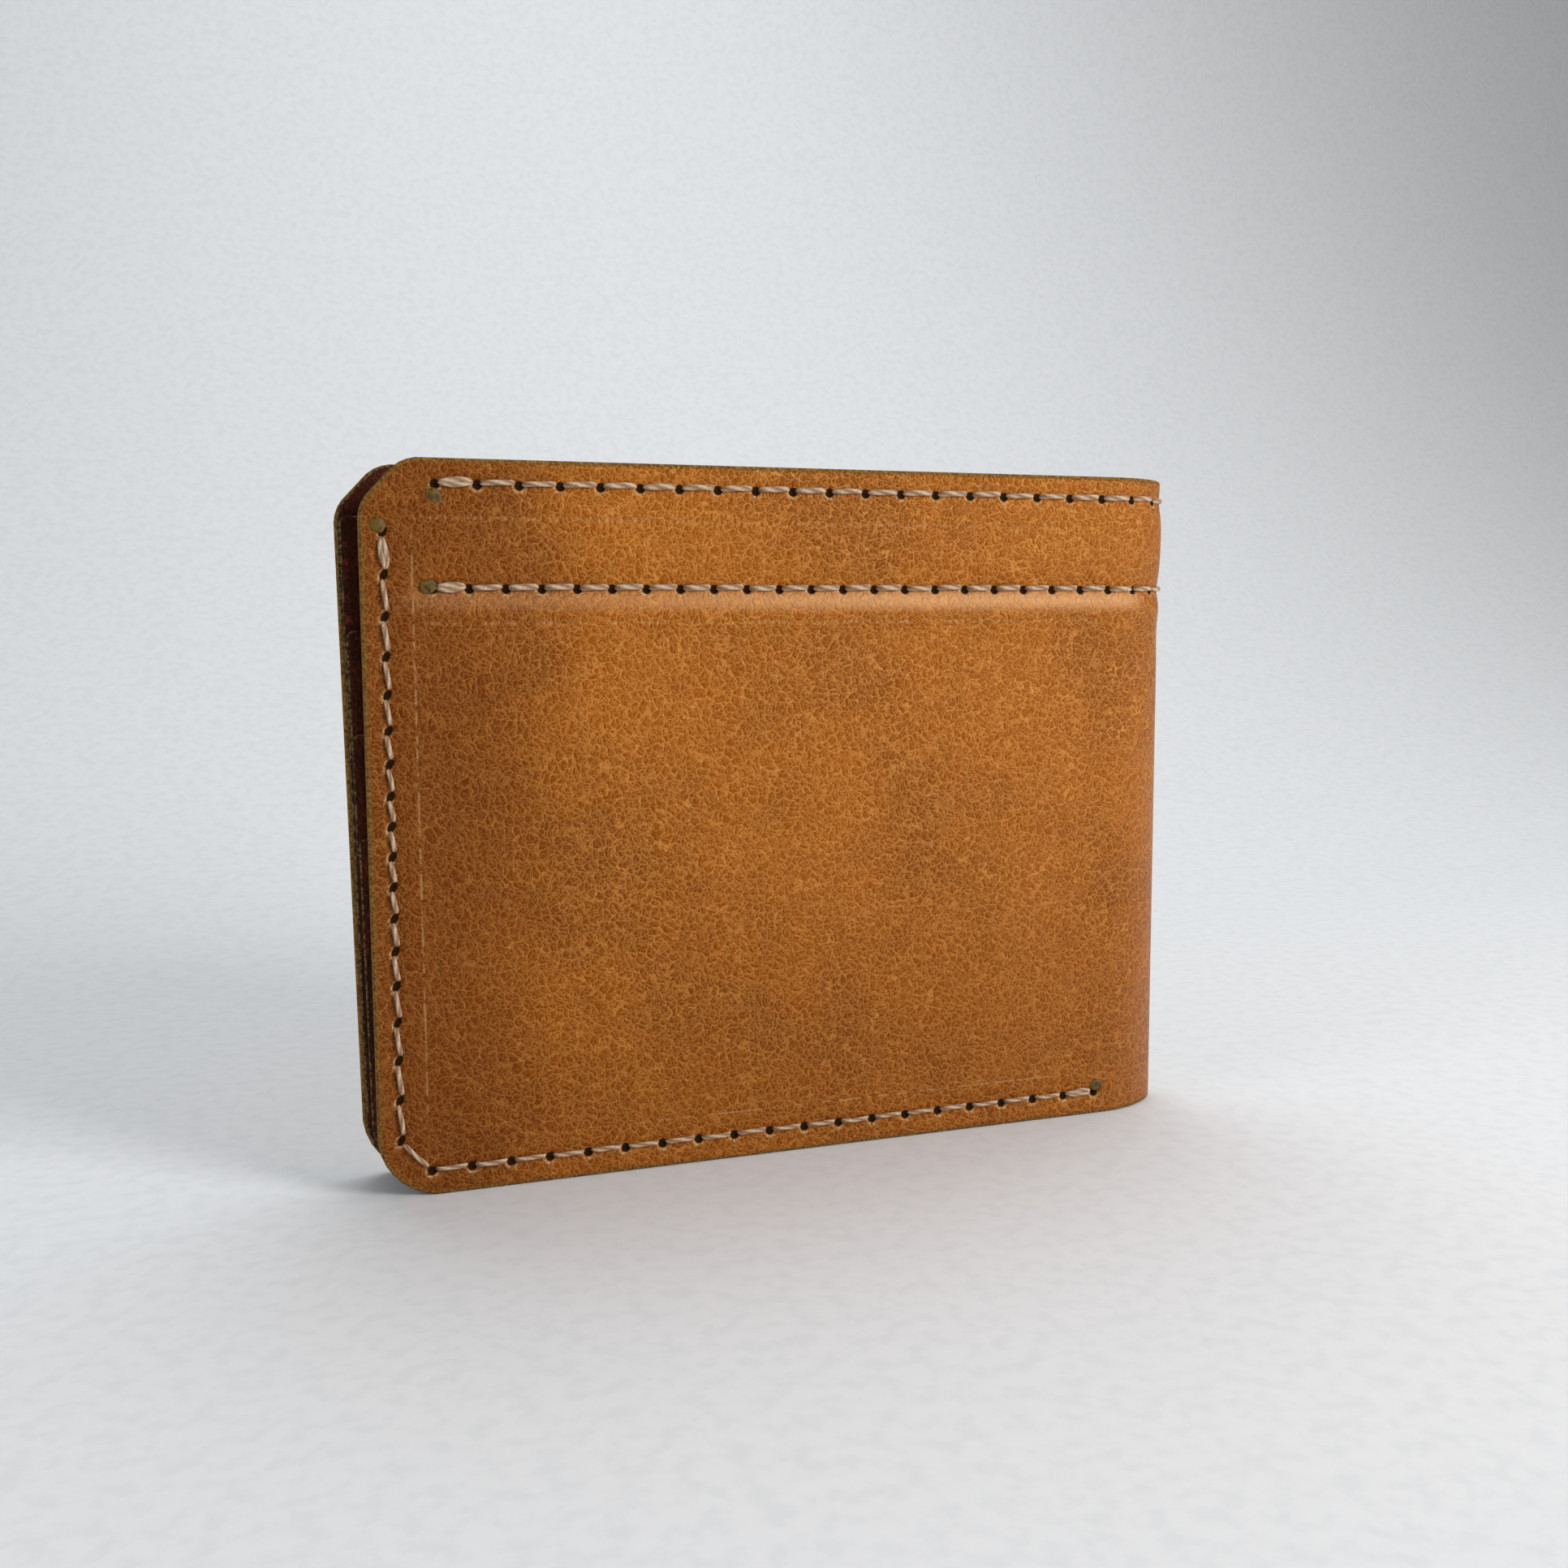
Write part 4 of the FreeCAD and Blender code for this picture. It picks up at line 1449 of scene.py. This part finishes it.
    def plies(self) -> list[bpy.types.Object]:
        """Cuts the plies of the card slots.

        Returns:
            The inner panel, the upper and the middle slot ply, and the lowest pocket.
        """
        seams, form = self.seams, self.form
        slot_end = form.half_length - self.slot_short
        through = seams.column(self.open_edge) + seams.bottom() + seams.pocket()
        stems = [seams.stem(low, slot_end) for low in self.stem_lows]
        panel = self.ply_corners(
            0.0, self.panel_top, 0.3, form.half_length - self.panel_short, self.corner_radius)
        made = [Sheet(
            "inner_panel_" + self.side.word, form, self.side, panel, depth=form.panel_depth,
            thick=form.ply_thick, holes=through + stems[0] + stems[1], relief=self.pillow)]
        for k, (top, stem_low) in enumerate(zip(self.slot_tops, self.stem_lows)):
            arm_low = top - self.arm_height
            left = self.open_edge(arm_low) + self.stem_side
            right = slot_end - self.stem_side
            made.append(Sheet(
                ("card_slot_upper_", "card_slot_middle_")[k] + self.side.word, form, self.side,
                self.ply_corners(stem_low, top, 0.5, slot_end, 0.0),
                depth=form.ply_depth(k + 1), thick=form.ply_thick,
                notches=[(-9.0, left, -1.0, arm_low), (right, 120.0, -1.0, arm_low)],
                holes=through + stems[k], relief=self.pillow))
        pocket = self.ply_corners(
            0.0, self.pocket_top, 0.7, form.half_length - self.pocket_short, self.corner_radius)
        made.append(Sheet(
            "card_pocket_" + self.side.word, form, self.side, pocket,
            depth=form.ply_depth(3), thick=form.ply_thick, holes=through, relief=self.pillow))
        pieces = [sheet.build() for sheet in made]
        for piece in pieces:
            self.dress(piece, self.wardrobe.lining)
        return pieces

    def dress(self, piece: bpy.types.Object, finish: bpy.types.Material) -> None:
        """Gives a leather piece its finish."""
        piece.data.materials.clear()
        piece.data.materials.append(finish)

    def inner_depth(self, z: float) -> float:
        """Depth of the innermost leather at a height, near a half's edges."""
        layers = sum(z < top for top in (*self.slot_tops, self.pocket_top))
        return self.form.ply_depth(layers) + self.form.ply_thick

    def flat_seams(self) -> list[bpy.types.Object]:
        """Sews the seams that lie on this half alone.

        Returns:
            The edge seam, the pockets' end seam and the two stem seams.
        """
        seams, form, word = self.seams, self.form, self.side.word
        edge = seams.column(self.open_edge) + seams.bottom()
        pocket = seams.pocket()
        rows = [
            StitchRow(
                "edge_stitches_" + word, form, self.side, edge,
                inner_depths=[self.inner_depth(z) for _, z in edge], style=Fastening.SLANTED, radius=0.3,
                doubled=(0, len(edge) - 2), ends=[(edge[0], (-0.6, 0.8)), (edge[-1], (0.3, 1.0))],
                seed=11),
            StitchRow(
                "pocket_stitches_" + word, form, self.side, pocket, outer_depth=form.panel_depth,
                inner_depths=[self.inner_depth(z) for _, z in pocket], seed=13),
        ]
        stems = zip(("upper", "middle"), self.stem_lows, (17, 19))
        for layer, (name, low, seed) in enumerate(stems, start=1):
            holes = seams.stem(low, form.half_length - self.slot_short)
            inner = form.ply_depth(layer) + form.ply_thick
            rows.append(StitchRow(
                name + "_slot_stitches_" + word, form, self.side, holes, outer_depth=form.panel_depth,
                inner_depths=[inner] * len(holes), seed=seed, proud=0.05))
        pieces = [row.build(self.wardrobe) for row in rows]
        return pieces


@dataclass
class Wallet:
    """The whole wallet: two halves joined by the bend of the hide."""

    form: WalletForm
    seams: Seams
    wardrobe: Wardrobe
    back_overhang: tuple[float, float] = (0.7, 1.9)
    row_overlap: float = 6.0
    ply_nodes: Sequence[str] = ("panel_", "slot_upper_", "slot_lower_", "pocket_")
    seam_nodes: Sequence[str] = (
        "thread_edge_", "thread_pockets_", "thread_stem_upper_", "thread_stem_lower_")

    def halves(self) -> list[Half]:
        """The front half and the back half, whose open edge reaches a little past the front's."""
        low, high = self.back_overhang
        return [
            Half(self.form, self.seams, self.wardrobe, Side.FRONT, 0.0, 0.0),
            Half(self.form, self.seams, self.wardrobe, Side.BACK, low, high),
        ]

    def bend(self, piece: bpy.types.Object, side: Side) -> None:
        """Works out where the bend starts and ends, which nothing uses, and bakes the piece's place into
        its mesh.
        """
        places = np.array([
            [self.form.half_length, 0.0, 0.0],
            [self.form.nose_length, 0.0, self.form.hide_thick],
        ])
        start, end = self.form.fold(places, side)
        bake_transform(piece)

    def build(self) -> None:
        """Builds every piece, hangs the plies and the flat seams on their half's body, and hides the
        imported nodes that each piece replaces.
        """
        for half in self.halves():
            for make, node in ((half.hide, "cover_"), (half.band, "band_")):
                piece = make()
                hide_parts(*self.nodes(node, half.side))
                self.bend(piece, half.side)
                report(piece)
            for make, nodes in ((half.plies, self.ply_nodes), (half.flat_seams, self.seam_nodes)):
                for piece, node in zip(make(), nodes):
                    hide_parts(node + half.side.word)
                    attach(piece, half.side.body)
                    report(piece)
        self.cross_row("top_stitches", "thread_top_", self.seams.top(), (-0.2, -1.5), 23)
        self.cross_row("band_stitches", "thread_band_", self.seams.band(), (-0.5, 0.2), 29)

    def nodes(self, start: str, side: Side) -> list[str]:
        """The nodes of one flexible piece: the front one stands for the spine's as well."""
        return [start + side.word] + [start + "spine"] * (side is Side.FRONT)

    def cross_row(self, name: str, node: str, holes: list[Place], end: Place, seed: int) -> None:
        """Sews a row round the fold, as two pieces that meet at the tip of the nose.

        Args:
            name: Start of the pieces' names.
            node: Start of the names of the nodes that they replace.
            holes: The row's holes, from the front open edge.
            end: From the row's end hole to its melted bead.
            seed: For the thread's small differences.
        """
        inner = self.form.hide_thick + self.form.band_thick
        limit = self.form.nose_length + self.row_overlap
        for half in self.halves():
            side = half.side
            places = sorted((s, z) for s, z in half.lies_on(holes) if s < limit)
            row = StitchRow(
                name + "_" + side.word, self.form, side, places, inner_depths=[inner] * len(places),
                doubled=(0,), ends=[(places[0], end)], seed=seed)
            piece = row.build(self.wardrobe)
            with editing(piece):
                bpy.ops.mesh.bisect(
                    plane_co=(0.0, 0.0, 0.0), plane_no=(0.0, side.value, 0.0), clear_outer=True,
                    use_fill=True, threshold=SNAP)
            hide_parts(*self.nodes(node, side))
            self.bend(piece, side)
            report(piece)


# ---- studio ------------------------------------------------------------------------------

@dataclass
class Studio:
    """A pale seamless sweep, soft lights and the camera. Places are in millimetres."""

    form: WalletForm
    wardrobe: Wardrobe
    camera_from_edge: tuple[float, float, float] = (-18.97, -197.0, 70.42)
    camera_turn: tuple[float, float, float] = (84.09, -20.62, -0.31)
    lens: float = 36.06
    sweep_width: float = 3000.0
    sweep_start: float = 110.0
    sweep_front: float = -1500.0
    sweep_height: float = 1500.0
    sweep_radius: float = 400.0

    def sweep(self) -> None:
        """Floor and backdrop in one curved sheet of paper."""
        deselect()
        back = self.sweep_start + self.sweep_radius
        depth = back - self.sweep_front
        bpy.ops.mesh.primitive_plane_add(size=1.0, location=(0.0, (back + self.sweep_front) / 2 * MM, 0.0))
        paper = bpy.context.object
        paper.name = paper.data.name = "studio_sweep"
        paper.scale = (self.sweep_width * MM, depth * MM, 1.0)
        bpy.ops.object.transform_apply(location=True, rotation=True, scale=True)
        near_back = (back - 1.0) * MM
        self.pick_edge(paper, lambda a, b: min(a.y, b.y) > near_back)
        with editing(paper, whole=False):
            bpy.ops.mesh.extrude_region_move(
                TRANSFORM_OT_translate={"value": (0.0, 0.0, self.sweep_height * MM)})
        self.pick_edge(paper, lambda a, b: min(a.y, b.y) > near_back and max(a.z, b.z) < MM)
        with editing(paper, whole=False):
            bpy.ops.mesh.bevel(offset=self.sweep_radius * MM, segments=24, affect="EDGES")
        bpy.ops.object.shade_smooth()
        paper.data.materials.append(self.wardrobe.paper)

    def pick_edge(self, piece: bpy.types.Object, wanted: Callable[[Vector, Vector], bool]) -> None:
        """Selects the edges whose two ends pass a test.

        Args:
            piece: The piece.
            wanted: Says whether an edge is wanted, from the places of its ends.
        """
        pick_none(piece, "EDGE")
        mesh = piece.data
        for edge in mesh.edges:
            edge.select = wanted(*(mesh.vertices[v].co for v in edge.vertices))

    def camera(self) -> None:
        """The camera, set from the front half's open edge."""
        dx, y, z = self.camera_from_edge
        tilt, yaw, roll = (math.radians(angle) for angle in self.camera_turn)
        data = bpy.data.cameras.new("camera")
        data.lens = self.lens
        data.sensor_width = 36.0
        data.clip_start = 0.01
        data.clip_end = 10.0
        eye = bpy.data.objects.new("camera", data)
        bpy.context.collection.objects.link(eye)
        eye.matrix_world = (
            Matrix.Translation(Vector((self.form.open_x + dx, y, z)) * MM)
            @ Matrix.Rotation(yaw, 4, "Z") @ Matrix.Rotation(tilt, 4, "X") @ Matrix.Rotation(roll, 4, "Z"))
        bpy.context.scene.camera = eye

    def light(self, name: str, place: tuple, size: tuple, power: float, colour: str) -> None:
        """A soft box aimed at the middle of the wallet.

        Args:
            name: The light's name.
            place: Where it hangs.
            size: Its width and height.
            power: Its power in watts.
            colour: Its colour as sRGB hex.
        """
        data = bpy.data.lights.new(name, "AREA")
        data.shape = "RECTANGLE"
        data.size, data.size_y = size[0] * MM, size[1] * MM
        data.energy = power
        data.color = linear(colour)[:3]
        lamp = bpy.data.objects.new(name, data)
        bpy.context.collection.objects.link(lamp)
        here = Vector(place) * MM
        aim = Vector((0.0, 0.0, self.form.height / 2)) * MM
        lamp.location = here
        lamp.rotation_euler = (aim - here).to_track_quat("-Z", "Y").to_euler()

    def lights(self) -> None:
        """A key box in front on the right, a weak fill, a box above and a grey room."""
        self.light("key_box", (357.0, -437.0, 285.0), (220.0, 220.0), 2.6, "FFFBF9")
        self.light("fill_box", (-450.0, -120.0, 280.0), (200.0, 200.0), 0.42, "F6F9FF")
        self.light("top_box", (130.0, 210.0, 660.0), (620.0, 480.0), 2.3, "FBFDFF")
        world = bpy.data.worlds.new("room")
        world.use_nodes = True
        world.node_tree.nodes["Background"].inputs["Color"].default_value = linear("E6E9EC")
        world.node_tree.nodes["Background"].inputs["Strength"].default_value = 0.22
        bpy.context.scene.world = world

    def build(self) -> None:
        """Sets up the sweep, the camera and the lights."""
        self.camera()
        self.sweep()
        self.lights()
        bpy.context.scene.view_settings.view_transform = "Standard"


# ---- making ------------------------------------------------------------------------------

def report(piece: bpy.types.Object) -> None:
    """Logs a piece's name and how many faces it has."""
    LOG.info("%s: %d faces", piece.name, len(piece.data.polygons))


def main() -> None:
    """Builds the wallet and its studio."""
    logging.basicConfig(level=logging.INFO, format="%(message)s")
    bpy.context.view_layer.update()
    form = WalletForm.from_frame()
    LOG.info("half length %.2f mm, nose at %.2f mm, wedge %.3f degrees",
             form.half_length, form.nose_length, math.degrees(form.wedge))
    wardrobe = Wardrobe()
    Studio(form, wardrobe).build()
    Wallet(form, Seams(), wardrobe).build()


if __name__ == "__main__":
    main()
